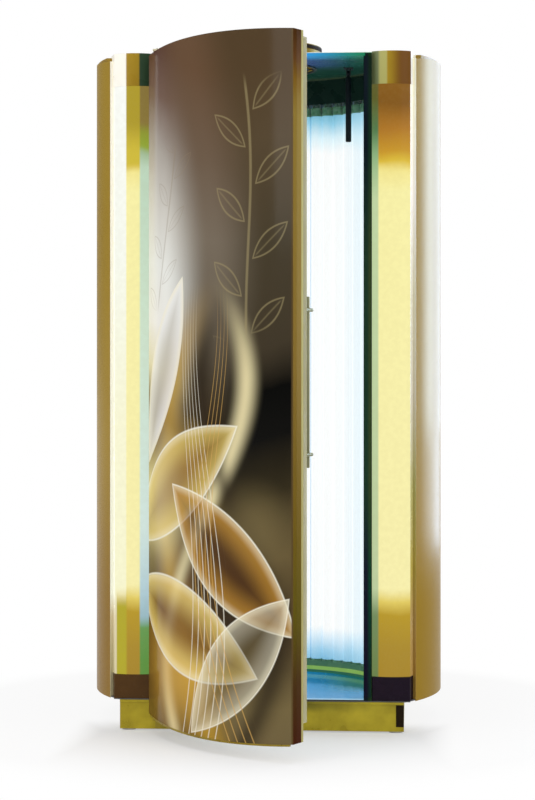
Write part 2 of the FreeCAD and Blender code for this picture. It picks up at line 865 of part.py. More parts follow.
def ballasts():
    """Lamp ballasts in rows on the board's rear face."""
    back = rear_post_front() - seat_gap
    blocks = []
    row_pitch = (ballast_board_high - ballast_board_low) / ballast_rows
    column_pitch = (2 * polar(shell_inside, seam_angle).x - post_width * 2) / (ballast_columns + 1)
    for row in range(ballast_rows):
        middle_z = ballast_board_low + (row + 0.5) * row_pitch
        for column in range(ballast_columns):
            middle_x = (column - (ballast_columns - 1) / 2) * column_pitch
            blocks.append(box(middle_x - ballast_width / 2, middle_x + ballast_width / 2,
                              back, back + ballast_depth,
                              middle_z - ballast_length / 2, middle_z + ballast_length / 2))
    return blocks


# ---------------------------------------------------------------- doorway

def jamb(side):
    """Rectangular tube beside the doorway, from the floor plate to the roof sheet."""
    inner = opening_half_width
    outer = opening_half_width + jamb_width
    back = jamb_front + jamb_depth
    post = box(inner, outer, jamb_front, back, floor_top, roof_under)
    hollow = box(inner + jamb_wall, outer - jamb_wall, jamb_front + jamb_wall, back - jamb_wall,
                 floor_top - cut_margin, roof_under + cut_margin)
    return on_side(post.cut(hollow), side)


def jamb_seals():
    """Rubber strips on the front of the jambs."""
    seals = []
    middle = opening_half_width + jamb_width / 2
    for side in SIDES.values():
        seal = box(middle - seal_width / 2, middle + seal_width / 2, jamb_front - seal_thickness,
                   jamb_front, floor_top + seal_end_gap, roof_under - seal_end_gap)
        seals.append(on_side(seal, side))
    return seals


def column_body(side):
    """Open trough that holds a column's lamp; its outer wall shows beside the shell."""
    high = roof_height - column_cap_wall
    outline = [(column_inner_x, column_back), (column_outer_x, column_back),
               (column_nose_x, column_shoulder), (column_inner_x, column_shoulder)]
    trough = prism(outline, column_low, high)
    run_x = column_outer_x - column_nose_x
    run_y = column_back - column_shoulder
    slope = run_x / run_y
    skewed_wall = column_wall * math.hypot(run_x, run_y) / run_y
    inside = [(column_inner_x + column_wall, column_back - column_wall),
              (column_outer_x - skewed_wall - column_wall * slope, column_back - column_wall),
              (column_nose_x - skewed_wall - cut_margin * slope, column_shoulder - cut_margin),
              (column_inner_x + column_wall, column_shoulder - cut_margin)]
    hollow = prism(inside, column_low - cut_margin, high + cut_margin)
    return on_side(trough.cut(hollow), side)


def bowed_sheet(start_x, end_x, shoulder, front, thickness, low, high):
    """Sheet bowed forwards between two upright edges."""
    middle = (start_x + end_x) / 2
    edges = [
        Part.Arc(Vector(start_x, shoulder, low), Vector(middle, front, low),
                 Vector(end_x, shoulder, low)).toShape(),
        Part.makeLine(Vector(end_x, shoulder, low), Vector(end_x - thickness, shoulder, low)),
        Part.Arc(Vector(end_x - thickness, shoulder, low), Vector(middle, front + thickness, low),
                 Vector(start_x + thickness, shoulder, low)).toShape(),
        Part.makeLine(Vector(start_x + thickness, shoulder, low), Vector(start_x, shoulder, low)),
    ]
    return Part.Face(Part.Wire(edges)).extrude(UP * (high - low))


def column_diffuser(side):
    """Translucent front of a light column, seated on the trough's two edges."""
    sheet = bowed_sheet(column_inner_x, column_nose_x, column_shoulder, column_front,
                        diffuser_wall, column_low, roof_height - column_cap_wall)
    return on_side(sheet, side)


def column_lamps():
    """Lamp of each light column, clipped to the bottom block and the top cap."""
    places = []
    middle_x = (column_inner_x + column_nose_x) / 2
    middle_y = (column_back + column_shoulder) / 2
    for side in SIDES.values():
        places.append(Vector(side * middle_x, middle_y, 0))
    high = roof_height - column_cap_wall - seat_gap
    return [glass_tube(column_lamp_radius, column_low, high, place) for place in places]


def column_caps():
    """Sleeves over the tops of the light columns."""
    caps = []
    low = roof_height - column_cap_height
    grow = column_cap_wall + seat_gap
    high = roof_height + column_cap_top
    middle = (column_inner_x + column_nose_x) / 2
    for side in SIDES.values():
        outer = capped_outline(grow, low, high)
        inner = capped_outline(seat_gap, low - cut_margin, roof_height - column_cap_wall)
        clip = rod(column_lamp_radius, roof_height - column_cap_wall - seat_gap, high,
                   Vector(middle, (column_back + column_shoulder) / 2, 0))
        back = box(0, 2 * cabin_radius, column_back, 0, low - cut_margin, high + cut_margin)
        inward = box(0, column_inner_x, -cabin_radius, 0, low - cut_margin, high + cut_margin)
        shell_edge = polar(cabin_radius, shell_front_angle).y - seat_gap
        beside_shell = box(0, 2 * cabin_radius, shell_edge, 0, low - cut_margin,
                           roof_height - column_cap_wall)
        cap = outer.cut(inner).cut(back).cut(inward).cut(beside_shell).fuse(clip)
        caps.append(on_side(cap.removeSplitter(), side))
    return caps


def capped_outline(grow, low, high):
    """Plan of a light column with its bowed front, grown by a wall's thickness."""
    middle = (column_inner_x + column_nose_x) / 2
    corners = [Vector(column_inner_x - grow, column_shoulder, low),
               Vector(middle, column_front - grow, low),
               Vector(column_nose_x + grow, column_shoulder, low)]
    back = column_back + grow
    run = (column_outer_x - column_nose_x) / (column_back - column_shoulder)
    outer_back = Vector(column_outer_x + grow + grow * run, back, low)
    inner_back = Vector(column_inner_x - grow, back, low)
    edges = [Part.Arc(*corners).toShape(), Part.makeLine(corners[2], outer_back),
             Part.makeLine(outer_back, inner_back), Part.makeLine(inner_back, corners[0])]
    return Part.Face(Part.Wire(edges)).extrude(UP * (high - low))


def column_bases():
    """Dark blocks that the light columns stand on."""
    blocks = []
    for side in SIDES.values():
        outline = column_outline(1)
        block = prism(outline, floor_top, column_low)
        upright = [edge for edge in block.Edges
                   if edge.BoundBox.ZLength > column_block_height / 2
                   and edge.BoundBox.YMax < column_shoulder]
        block = block.makeFillet(column_block_edge_radius, upright)
        blocks.append(on_side(block, side))
    return blocks


# ---------------------------------------------------------------- fittings inside

def grip_height():
    return roof_under - grip_pin_drop


def grip_bracket(x):
    """Ceiling plate with two ears and the pin that a hand grip swings on."""
    centre = Vector(x, grip_y, grip_height())
    plate = box(x - grip_plate_width / 2, x + grip_plate_width / 2, grip_y - grip_plate_length / 2,
                grip_y + grip_plate_length / 2, roof_under - grip_plate_thickness, roof_under)
    half = grip_eye_width / 2 + seat_gap
    pieces = []
    for side in SIDES.values():
        near = x + side * half
        far = near + side * grip_ear_thickness
        pieces.append(box(min(near, far), max(near, far), grip_y - grip_ear_width / 2,
                          grip_y + grip_ear_width / 2, centre.z - grip_ear_width / 2, roof_under))
    span = 2 * (half + grip_ear_thickness)
    pin = Part.makeCylinder(grip_pin_radius, span, centre - Vector(span / 2, 0, 0), Vector(1, 0, 0))
    return plate.fuse(pieces + [pin]).removeSplitter()


def hand_grip(x):
    """Round bar that hangs from its eye."""
    centre = Vector(x, grip_y, grip_height())
    start = centre - Vector(grip_eye_width / 2, 0, 0)
    eye = Part.makeCylinder(grip_eye_radius, grip_eye_width, start, Vector(1, 0, 0))
    bore = Part.makeCylinder(grip_pin_radius + running_clearance, grip_eye_width + 2 * cut_margin,
                             start - Vector(cut_margin, 0, 0), Vector(1, 0, 0))
    shoulder = centre.z - grip_ear_width / 2 - grip_shoulder_gap
    neck = box(x - grip_eye_width / 2, x + grip_eye_width / 2, grip_y - grip_eye_width / 2,
               grip_y + grip_eye_width / 2, shoulder - grip_shoulder_gap / 2, centre.z)
    bar = rod(grip_radius, shoulder - grip_length, shoulder, Vector(x, grip_y, 0))
    rims = [edge for edge in bar.Edges if len(edge.Vertexes) == 1]
    bar = bar.makeFillet(grip_radius / 3, rims)
    return eye.fuse([neck, bar]).cut(bore).removeSplitter()


def button_heights():
    return {"start": panel_centre_height + button_spacing / 2,
            "stop": panel_centre_height - button_spacing / 2}


def panel_face():
    return -opening_half_width + panel_thickness


def panel_middle():
    return jamb_front + panel_front_gap + panel_depth / 2


def control_panel():
    """Slim box on the left jamb, with a bore for each button."""
    back = panel_middle() + panel_depth / 2
    panel = box(-opening_half_width, panel_face(), back - panel_depth, back,
                panel_centre_height - panel_height / 2, panel_centre_height + panel_height / 2)
    front_edges = [edge for edge in panel.Edges if edge.BoundBox.XMin > panel_face() - seat_gap]
    panel = panel.makeFillet(panel_edge_radius, front_edges)
    for height in button_heights().values():
        mouth = Vector(panel_face() + cut_margin, panel_middle(), height)
        bore = Part.makeCylinder(button_stem_radius + running_clearance,
                                 button_bore_depth + cut_margin, mouth, Vector(-1, 0, 0))
        panel = panel.cut(bore)
    return panel


def push_button(name):
    """Button cap that stands off the panel by a little more than its travel."""
    height = button_heights()[name]
    stand = panel_face() + button_travel + seat_gap
    cap = Part.makeCylinder(button_cap_radius, button_cap_thickness,
                            Vector(stand, panel_middle(), height), Vector(1, 0, 0))
    front = [edge for edge in cap.Edges if edge.BoundBox.XMin > stand + button_cap_thickness / 2]
    cap = cap.makeFillet(button_cap_thickness / 3, front)
    stem_back = panel_face() - button_stem_length
    stem = Part.makeCylinder(button_stem_radius, stand - stem_back,
                             Vector(stem_back, panel_middle(), height), Vector(1, 0, 0))
    return cap.fuse(stem).removeSplitter()


# ---------------------------------------------------------------- door, drawn closed

def door_angle(radius, from_end):
    """Plan angle of a place on the door, given its distance from the end face."""
    return door_half_angle - math.degrees(from_end / radius)


def door_point(from_outside, from_end, side):
    """Point in the door's section, by its depth and its distance from an end face."""
    angle = math.radians(door_half_angle)
    corner = polar(door_radius, door_half_angle, door_centre)
    inward = Vector(-math.sin(angle), math.cos(angle), 0)
    along = Vector(-math.cos(angle), -math.sin(angle), 0)
    place = corner + inward * from_outside + along * from_end
    return Vector(side * place.x, place.y, 0)


def arched(shape):
    """Trim a part of the door to its gently arched top and bottom."""
    half = door_width / 2
    far = half + door_trim_overreach
    fall = door_arch * ((far / half) ** 2 - 1)
    front = door_end_front - door_radius
    top_left = Vector(-far, front, door_high_end - fall)
    top_right = Vector(far, front, door_high_end - fall)
    low_left = Vector(-far, front, door_low_end + fall)
    low_right = Vector(far, front, door_low_end + fall)
    top = Part.Arc(top_left, Vector(0, front, door_high_end + door_arch), top_right)
    bottom = Part.Arc(low_right, Vector(0, front, door_low_end - door_arch), low_left)
    right = Part.makeLine(top_right, low_right)
    left = Part.makeLine(low_left, top_left)
    outline = Part.Wire([top.toShape(), right, bottom.toShape(), left])
    tool = Part.Face(outline).extrude(Vector(0, 2 * door_radius, 0))
    return shape.common(tool)


def door_wall(outer_depth, inner_depth, from_end, low, high):
    """Wall concentric with the door's skin, as wide as the door less both end gaps."""
    outside = door_radius - outer_depth
    inside = door_radius - inner_depth
    reach = door_angle(outside, from_end)
    return ring_sector(inside, outside, -reach, reach, low, high, door_centre)


def end_block(outer_depth, inner_depth, near, far, side, low, high):
    """Bar along a door's end face, from one distance to another from that face."""
    corners = [door_point(outer_depth, near, side), door_point(outer_depth, far, side),
               door_point(inner_depth, far, side), door_point(inner_depth, near, side)]
    return prism([(corner.x, corner.y) for corner in corners], low, high)


def door_low():
    return door_low_end - door_arch - door_trim_allowance


def door_high():
    return door_high_end + door_arch + door_trim_allowance


def door_skin_panel():
    """Bowed outer skin with its two edges turned in."""
    skin = door_wall(0, door_skin, 0, door_low(), door_high())
    for side in SIDES.values():
        edge = end_block(door_skin / 2, door_return, 0, door_skin, side, door_low(), door_high())
        skin = skin.fuse(edge)
    return arched(skin.removeSplitter())


def door_profile(side):
    """Upright profile at one end of the door, with the leg that carries the cover."""
    depth = door_return + seat_gap
    low = door_low()
    high = door_high()
    shell = arched(end_block(depth, door_shell_depth, 0, door_profile_width, side, low, high))
    tongue = end_block(door_skin + seat_gap, depth + weld_overlap, door_skin + seat_gap,
                       door_profile_width, side, low, high)
    leg_low = door_box_low + acrylic_thickness + seat_gap
    leg_high = door_box_high - acrylic_thickness - seat_gap
    leg = end_block(door_shell_depth, door_depth - acrylic_thickness - seat_gap, door_leg_inset,
                    door_leg_inset + door_leg_width, side, leg_low, leg_high)
    return shell.fuse([arched(tongue), leg]).removeSplitter()


def cap_core(side_gap, low, high):
    return door_wall(door_skin + seat_gap, door_shell_depth - seat_gap, side_gap, low, high)


def door_lip(side_gap):
    """Lip that follows the skin's lower edge and shows below it."""
    drop = Vector(0, 0, -door_lip_height)
    band = arched(door_wall(0, door_lip_depth, side_gap, door_low(), door_box_low))
    skin_space = arched(door_wall(-cut_margin, door_skin + seat_gap, 0, door_low(), door_box_low + cut_margin))
    return band.translated(drop).cut(skin_space.translated(Vector(0, 0, -seat_gap)))


def door_end_caps():
    """Top and bottom closures of the door, between its two profiles. The lower one has a lip."""
    gap = door_profile_width + door_cap_side_gap
    inner_gap = door_leg_inset + door_leg_width + door_cap_side_gap
    inner_depth = door_depth - acrylic_thickness - seat_gap
    top = arched(cap_core(gap, door_high_end - door_cap_height, door_high()))
    top = top.fuse(door_wall(door_shell_depth - weld_overlap, inner_depth, inner_gap,
                             door_box_high - door_box_cap, door_box_high - acrylic_thickness - seat_gap))
    bottom = arched(cap_core(gap, door_low(), door_box_low + door_box_cap))
    bottom = bottom.fuse(door_wall(door_shell_depth - weld_overlap, inner_depth, inner_gap,
                                   door_box_low + acrylic_thickness + seat_gap,
                                   door_box_low + door_box_cap))
    bottom = bottom.fuse(door_lip(gap))
    bore_radius = pivot_radius + running_clearance
    pivot = pivot_place()
    top_bore = rod(bore_radius, upper_pin_low() - end_play, door_high() + cut_margin, pivot)
    bottom_bore = rod(bore_radius, door_low() - cut_margin, lower_pin_high() + end_play, pivot)
    return [top.removeSplitter().cut(top_bore), bottom.removeSplitter().cut(bottom_bore)]


def door_lamp_depth():
    return door_depth - acrylic_thickness - door_lamp_to_cover - lamp_radius


def door_lamps():
    """Upright lamps behind the door's cover, between its end caps."""
    radius = door_radius - door_lamp_depth()
    edge = door_leg_inset + door_leg_width + lamp_radius + door_lamp_side_gap
    reach = door_angle(radius, edge)
    count = int(2 * math.radians(reach) * radius / lamp_pitch) + 1
    low = door_box_low + door_box_cap + seat_gap
    high = door_box_high - door_box_cap - seat_gap
    tubes = []
    for number in range(count):
        angle = -reach + 2 * reach * number / (count - 1)
        tubes.append(glass_tube(lamp_radius, low, high, polar(radius, angle, door_centre)))
    return tubes


def door_reflector():
    depth = door_lamp_depth() - lamp_radius - door_lamp_to_reflector
    return door_wall(depth - reflector_thickness, depth,
                     door_leg_inset + door_leg_width + door_cap_side_gap,
                     door_box_low + door_box_cap + seat_gap, door_box_high - door_box_cap - seat_gap)


def door_cover():
    """Formed acrylic tray over the door's lamps, with walls on all four sides."""
    tray = door_wall(door_shell_depth + seat_gap, door_depth, 0, door_box_low, door_box_high)
    hollow = door_wall(door_shell_depth - cut_margin, door_depth - acrylic_thickness, acrylic_thickness,
                       door_box_low + acrylic_thickness, door_box_high - acrylic_thickness)
    tray = tray.cut(hollow)
    for place in handle_post_places():
        hole = handle_post(place, door_depth + cut_margin, handle_post_radius + seat_gap)
        tray = tray.cut(hole)
    return tray.removeSplitter()


def handle_post_places():
    half = handle_length / 2 - handle_post_inset
    return [handle_centre_height - half, handle_centre_height + half]


def handle_post(height, reach, radius):
    """Round post from the profile's leg out to a given depth behind the skin."""
    leg_face = door_depth - acrylic_thickness - seat_gap
    start = door_point(leg_face, handle_post_end(), 1)
    end = door_point(reach, handle_post_end(), 1)
    start.z = height
    end.z = height
    return Part.makeCylinder(radius, (end - start).Length, start, end - start)


def handle_post_end():
    return door_leg_inset + door_leg_width / 2


def door_handle():
    """Upright pull bar on two posts with elbows, at the door's free end."""
    place = door_point(handle_from_outside, handle_from_end, 1)
    low = handle_centre_height - handle_length / 2
    bar = rod(handle_radius, low, low + handle_length, place)
    rims = [edge for edge in bar.Edges if len(edge.Vertexes) == 1]
    bar = bar.makeFillet(handle_radius / 3, rims)
    pieces = []
    for height in handle_post_places():
        pieces.append(handle_post(height, handle_from_outside, handle_post_radius))
        start = door_point(handle_from_outside, handle_post_end(), 1)
        end = door_point(handle_from_outside, handle_from_end, 1)
        start.z = height
        end.z = height
        pieces.append(Part.makeCylinder(handle_post_radius, (end - start).Length, start, end - start))
        pieces.append(Part.makeSphere(handle_post_radius, start))
    return bar.fuse(pieces).removeSplitter()


def pivot_place():
    return door_point(pivot_from_outside, pivot_from_end, -1)


def lower_pin_high():
    return door_low_end + pivot_engagement


def upper_pin_low():
    return door_high_end - pivot_engagement


def door_edge_height(x, end_height, rise):
    """Height of the door's arched edge above or below its end height."""
    return end_height + rise * (1 - (x / (door_width / 2)) ** 2)


def pivot_brackets():
    """Lower arm on the plinth and upper arm on the roof, each with a thrust washer."""
    pivot = pivot_place()
    front = pivot.y - bracket_reach
    left = pivot.x - bracket_half_width
    right = pivot.x + bracket_half_width
    nosing_low = frame_high - nosing_height
    lower_arm = box(left, right, front, plinth_front_y, lower_bracket_top - bracket_thickness,
                    lower_bracket_top)
    plate = box(left, right, plinth_front_y - bracket_plate_thickness, plinth_front_y,
                bracket_plate_low, min(nosing_low - seat_gap, lower_bracket_top))
    nearest = pivot.x + washer_radius
    lower_washer_top = door_edge_height(nearest, door_low_end, -door_arch) - seat_gap
    lower_washer = rod(washer_radius, lower_bracket_top, lower_washer_top, pivot)
    lower = lower_arm.fuse([plate, lower_washer]).removeSplitter()
    upper_arm = box(left, right, front, plinth_front_y + bracket_roof_length, roof_height,
                    roof_height + bracket_thickness)
    upper_washer_low = door_edge_height(nearest, door_high_end, door_arch) + seat_gap
    upper_washer = rod(washer_radius, upper_washer_low, roof_height, pivot)
    upper = upper_arm.fuse(upper_washer).removeSplitter()
    hole = pivot_radius + running_clearance
    lower = lower.cut(rod(hole, 0, lower_washer_top + cut_margin, pivot))
    upper = upper.cut(rod(hole, upper_washer_low - cut_margin, roof_height + 2 * bracket_thickness, pivot))
    return [lower, upper]


def pivot_pins():
    """Headed pins that run in the end caps of the door."""
    pivot = pivot_place()
    lower_head_high = lower_bracket_top - bracket_thickness
    lower_head_low = lower_head_high - pin_head_height
    lower = rod(pivot_radius, lower_head_low, lower_pin_high(), pivot)
    lower = lower.fuse(rod(pin_head_radius, lower_head_low, lower_head_high, pivot))
    upper_head_low = roof_height + bracket_thickness
    upper_head_high = upper_head_low + pin_head_height
    upper = rod(pivot_radius, upper_pin_low(), upper_head_high, pivot)
    upper = upper.fuse(rod(pin_head_radius, upper_head_low, upper_head_high, pivot))
    return [lower.removeSplitter(), upper.removeSplitter()]


def opened(shapes):
    """Turn parts of the closed door to the open position that the model rests in."""
    pivot = pivot_place()
    turned = []
    for shape in shapes:
        copy = shape.copy()
        copy.rotate(pivot, UP, -door_open_angle)
        turned.append(copy)
    return turned


# ---------------------------------------------------------------- sub-parts

def write_base():
    save("levelling_feet", *levelling_feet())
    save("base_frame", base_frame())
    save("plinth_front", plinth_front())
    save("plinth_skirt", plinth_skirt())
    save("plinth_end_strip", plinth_end_strip())
    save("mains_gland", mains_gland())
    save("floor_plate", floor_plate())
    save("standing_platform", standing_platform())


def write_cabin():
    for name, side in SIDES.items():
        save(name + "_shell", side_shell(side))
        save(name + "_jamb", jamb(side))
        save(name + "_column_body", column_body(side))
        save(name + "_column_diffuser", column_diffuser(side))
    save("rear_cover", rear_cover())
    save("shell_screws", *shell_screws())
    save("frame_posts", *frame_posts())
    save("jamb_seals", *jamb_seals())
    save("column_lamps", *column_lamps())
    save("column_caps", *column_caps())
    save("column_bases", *column_bases())


def write_roof():
    save("roof_panel", roof_panel())
    save("exhaust_collar", exhaust_collar())
    save("collar_seal", collar_seal())
    save("fan_bracket", fan_bracket())
    save("fan_motor", fan_motor())
    save("fan_rotor", fan_rotor())
    save("fan_guard", fan_guard())


def write_drum():
    for section in ("left", "rear", "right"):
        save(section + "_lamps", *lamps(section))
        save(section + "_acrylic", acrylic_panel(section))
    save("lamp_caps", *lamp_caps())
    save("lamp_sockets", *lamp_sockets())
    save("lamp_reflector", lamp_reflector())
    save("upper_lamp_ring", upper_lamp_ring())
    save("lower_lamp_ring", lower_lamp_ring())
    save("trim_rings", *trim_rings())
    save("ballast_board", ballast_board())
    save("ballasts", *ballasts())


def write_fittings():
    save("grip_brackets", grip_bracket(-grip_x), grip_bracket(grip_x))
    save("left_hand_grip", hand_grip(-grip_x))
    save("right_hand_grip", hand_grip(grip_x))
    save("control_panel", control_panel())
    save("start_button", push_button("start"))
    save("stop_button", push_button("stop"))
    save("pivot_brackets", *pivot_brackets())
    save("pivot_pins", *pivot_pins())


def write_door():
    save("door_skin", *opened([door_skin_panel()]))
    save("door_hinge_profile", *opened([door_profile(-1)]))
    save("door_edge_profile", *opened([door_profile(1)]))
    save("door_end_caps", *opened(door_end_caps()))
    save("door_reflector", *opened([door_reflector()]))
    save("door_lamps", *opened(door_lamps()))
    save("door_cover", *opened([door_cover()]))
    save("door_handle", *opened([door_handle()]))


os.makedirs("parts", exist_ok=True)
write_base()
write_cabin()
write_roof()
write_drum()
write_fittings()
write_door()
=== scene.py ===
import bpy
import json
import math
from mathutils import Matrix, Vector

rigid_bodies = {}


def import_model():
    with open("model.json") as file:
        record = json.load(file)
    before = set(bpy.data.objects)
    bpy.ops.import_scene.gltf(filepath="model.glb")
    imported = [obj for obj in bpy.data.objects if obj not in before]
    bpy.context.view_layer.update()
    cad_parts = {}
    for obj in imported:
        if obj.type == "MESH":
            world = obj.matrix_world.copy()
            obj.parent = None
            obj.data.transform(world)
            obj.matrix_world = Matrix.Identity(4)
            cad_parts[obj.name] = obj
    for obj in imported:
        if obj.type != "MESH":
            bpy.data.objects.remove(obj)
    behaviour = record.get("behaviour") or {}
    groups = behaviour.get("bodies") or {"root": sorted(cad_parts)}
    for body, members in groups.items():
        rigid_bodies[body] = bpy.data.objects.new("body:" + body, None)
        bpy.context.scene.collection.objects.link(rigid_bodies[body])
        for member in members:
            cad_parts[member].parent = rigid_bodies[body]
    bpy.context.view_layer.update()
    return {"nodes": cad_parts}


for thing in list(bpy.data.objects):
    bpy.data.objects.remove(thing)

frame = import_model()
NODES = frame["nodes"]

# Lengths are in metres. The ramps' levels are shares of these heights.
BOOTH_HEIGHT = 2.15
LAMP_HEIGHT = 2.10

# Side shells: their radius, and half the width between their front edges
SHELL_RADIUS = 0.570
SHELL_OPENING = 0.2961

# Door: the arc that its skin follows, as it rests open
DOOR_RADIUS = 0.900
DOOR_HALF_WIDTH = 0.350
DOOR_HALF = math.asin(DOOR_HALF_WIDTH / DOOR_RADIUS)
DOOR_OPEN = math.radians(-46)
DOOR_FACE = -0.404
PIVOT = Vector((-0.318843, -0.386760))
DOOR_LOW, DOOR_HIGH = 0.044, 2.151
DOOR_TALL = 6.02    # its height in half-widths

NO_GLOW = (0, 0, 0, 1)


def door_turned(point):
    """Place on the closed door, turned to where it rests."""
    offset = Vector(point) - PIVOT
    cos, sin = math.cos(DOOR_OPEN), math.sin(DOOR_OPEN)
    return PIVOT + Vector((offset.x * cos - offset.y * sin, offset.x * sin + offset.y * cos))


DOOR_CENTRE = door_turned((0, DOOR_FACE + DOOR_RADIUS * math.cos(DOOR_HALF)))


def rgb(red, green, blue):
    """Screen colour 0-255 as linear light."""
    out = []
    for value in (red, green, blue):
        value /= 255
        out.append(value / 12.92 if value <= 0.04045 else ((value + 0.055) / 1.055) ** 2.4)
    return (*out, 1.0)


class Sheet:
    """One material and the few node builders that the finishes share."""

    def __init__(self, name):
        self.material = bpy.data.materials.new(name)
        self.material.use_nodes = True
        self.tree = self.material.node_tree
        self.tree.nodes.clear()
        self.out = self.add("ShaderNodeOutputMaterial")
        self.coord = self.add("ShaderNodeTexCoord").outputs["Object"]
        split = self.add("ShaderNodeSeparateXYZ")
        self.put(split.inputs[0], self.coord)
        self.x, self.y, self.z = split.outputs

    def add(self, kind, **settings):
        node = self.tree.nodes.new(kind)
        for key, value in settings.items():
            setattr(node, key, value)
        return node

    def put(self, socket, value):
        if isinstance(value, bpy.types.NodeSocket):
            self.tree.links.new(value, socket)
        else:
            socket.default_value = value

    def math(self, operation, *values):
        node = self.add("ShaderNodeMath", operation=operation)
        for socket, value in zip(node.inputs, values):
            self.put(socket, value)
        return node.outputs[0]

    def fade(self, value, start, end, low=0.0, high=1.0):
        """Smooth step from low to high as value goes from start to end."""
        node = self.add("ShaderNodeMapRange", interpolation_type="SMOOTHSTEP")
        for socket, entry in zip(node.inputs, (value, start, end, low, high)):
            self.put(socket, entry)
        return node.outputs[0]

    def hypotenuse(self, across, along):
        squares = [self.math("MULTIPLY", leg, leg) for leg in (across, along)]
        return self.math("SQRT", self.math("ADD", *squares))

    def level(self):
        """Share of the booth's height."""
        return self.math("DIVIDE", self.z, BOOTH_HEIGHT)

    def on_right(self):
        """0 on the booth's left half, 1 on its right one."""
        return self.fade(self.x, -0.1, 0.1)

    def ramp(self, value, stops):
        node = self.add("ShaderNodeValToRGB")
        elements = node.color_ramp.elements
        while len(elements) < len(stops):
            elements.new(0.5)
        for element, (place, colour) in zip(elements, stops):
            element.position = place
            element.color = colour
        self.put(node.inputs[0], value)
        return node.outputs[0]

    def mix(self, factor, first, second):
        node = self.add("ShaderNodeMix", data_type="RGBA")
        self.put(node.inputs[0], factor)
        self.put(node.inputs[6], first)
        self.put(node.inputs[7], second)
        return node.outputs[2]

    def noise(self, scale, detail=3.0, stretch=(1, 1, 1)):
        mapping = self.add("ShaderNodeMapping")
        mapping.inputs["Scale"].default_value = stretch
        self.put(mapping.inputs["Vector"], self.coord)
        node = self.add("ShaderNodeTexNoise")
        self.put(node.inputs["Vector"], mapping.outputs[0])
        node.inputs["Scale"].default_value = scale
        node.inputs["Detail"].default_value = detail
        return node.outputs[0]

    def normal(self, height=None, strength=0.1, edge=0.0):
        """Softened edges, with a fine bump on top."""
        rounded = None
        if edge:
            bevel = self.add("ShaderNodeBevel", samples=4)
            bevel.inputs["Radius"].default_value = edge
            rounded = bevel.outputs[0]
        if height is None:
            return rounded
        bump = self.add("ShaderNodeBump")
        bump.inputs["Strength"].default_value = strength
        bump.inputs["Distance"].default_value = 0.001
        self.put(bump.inputs["Height"], height)
        if rounded is not None:
            self.put(bump.inputs["Normal"], rounded)
        return bump.outputs[0]

    def surface(self, colour, roughness, normal=None, emission=None, **inputs):
        """Shader of the sheet. Further inputs are named with underscores for spaces."""
        shader = self.add("ShaderNodeBsdfPrincipled")
        self.put(shader.inputs["Base Color"], colour)
        self.put(shader.inputs["Roughness"], roughness)
        if normal is not None:
            self.put(shader.inputs["Normal"], normal)
        if emission is not None:
            self.put(shader.inputs["Emission Color"], emission)
            shader.inputs["Emission Strength"].default_value = 1.0
        for key, value in inputs.items():
            self.put(shader.inputs[key.replace("_", " ")], value)
        self.put(self.out.inputs["Surface"], shader.outputs[0])
        return self.material


def finish(name, dark, light, rough=(0.3, 0.4), scale=30.0, stretch=(1, 1, 1), bump=0.0, edge=0.0,
           **inputs):
    """Plain finish: two close tones and a range of roughness, both broken up by noise."""
    s = Sheet(name)
    grain = s.noise(scale, 4.0, stretch)
    colour = s.ramp(grain, [(0.3, dark), (0.7, light)])
    roughness = s.fade(grain, 0.3, 0.7, rough[0], rough[1])
    normal = s.normal(grain if bump else None, bump, edge)
    return s.surface(colour, roughness, normal, **inputs)


def absolute(s, value):
    return s.math("ABSOLUTE", value)


def from_door_centre(s):
    """Offsets from the axis about which the door's skin is curved."""
    return s.math("SUBTRACT", s.x, DOOR_CENTRE.x), s.math("SUBTRACT", s.y, DOOR_CENTRE.y)


def door_depth_at(s):
    """Distance inwards from the door's curved skin."""
    return s.math("SUBTRACT", DOOR_RADIUS, s.hypotenuse(*from_door_centre(s)))


# ---------------------------------------------------------------- finishes

def fold_highlight_tone(s):
    """Painted highlight on the folds beside the columns, standing for reflected light: golden at the foot,
    whiter further up.
    """
    level = s.level()
    right = s.ramp(level, [(0.08, rgb(168, 132, 60)), (0.17, rgb(176, 148, 88)), (0.24, rgb(178, 160, 76)),
                           (0.36, rgb(180, 174, 110)), (0.49, rgb(212, 205, 184)), (0.64, rgb(224, 220, 198)),
                           (0.78, rgb(246, 243, 236)), (1.0, rgb(252, 250, 228))])
    left = s.ramp(level, [(0.10, rgb(200, 190, 150)), (0.165, rgb(220, 208, 174)), (0.20, rgb(248, 248, 232)),
                          (1.0, rgb(250, 246, 232))])
    return s.mix(s.on_right(), left, right)


def shell_finish():
    """Champagne paint with fine flakes, painted shade that makes it a deeper gold low down and darker on the
    left shell, and a painted highlight on the fold at each front edge.
    """
    s = Sheet("champagne_paint")
    flake = s.noise(900.0, 1.0)
    cloud = s.noise(3.0, 2.0)
    tone = s.mix(cloud, rgb(160, 128, 40), rgb(172, 140, 52))
    colour = s.mix(s.fade(flake, 0.35, 0.65, 0.0, 0.14), tone, rgb(196, 172, 84))
    # Painted shade: a deeper gold low down, darker on the left shell than on the right.
    painted_shade_gold = s.mix(s.on_right(), rgb(140, 100, 14), rgb(166, 130, 26))
    low_shade_share = s.fade(s.z, 1.00, 0.30, 0.0, 0.75)
    colour = s.mix(low_shade_share, colour, painted_shade_gold)
    # Painted highlight along the fold at each front edge.
    edge_angle = math.acos(SHELL_OPENING / SHELL_RADIUS)
    behind = s.math("ADD", s.math("MULTIPLY", absolute(s, s.x), math.cos(edge_angle)),
                    s.math("MULTIPLY", s.y, math.sin(edge_angle)))
    fold = s.fade(behind, 0.0030, 0.0022)
    colour = s.mix(fold, colour, fold_highlight_tone(s))
    roughness = s.fade(flake, 0.3, 0.7, 0.26, 0.34)
    sheen = s.math("MINIMUM", s.fade(s.x, -0.1, 0.1, 0.03, 0.11), s.fade(s.z, 0.38, 0.60, 0.03, 0.11))
    return s.surface(colour, roughness, s.normal(flake, 0.02), Metallic=0.06, Specular_IOR_Level=sheen)


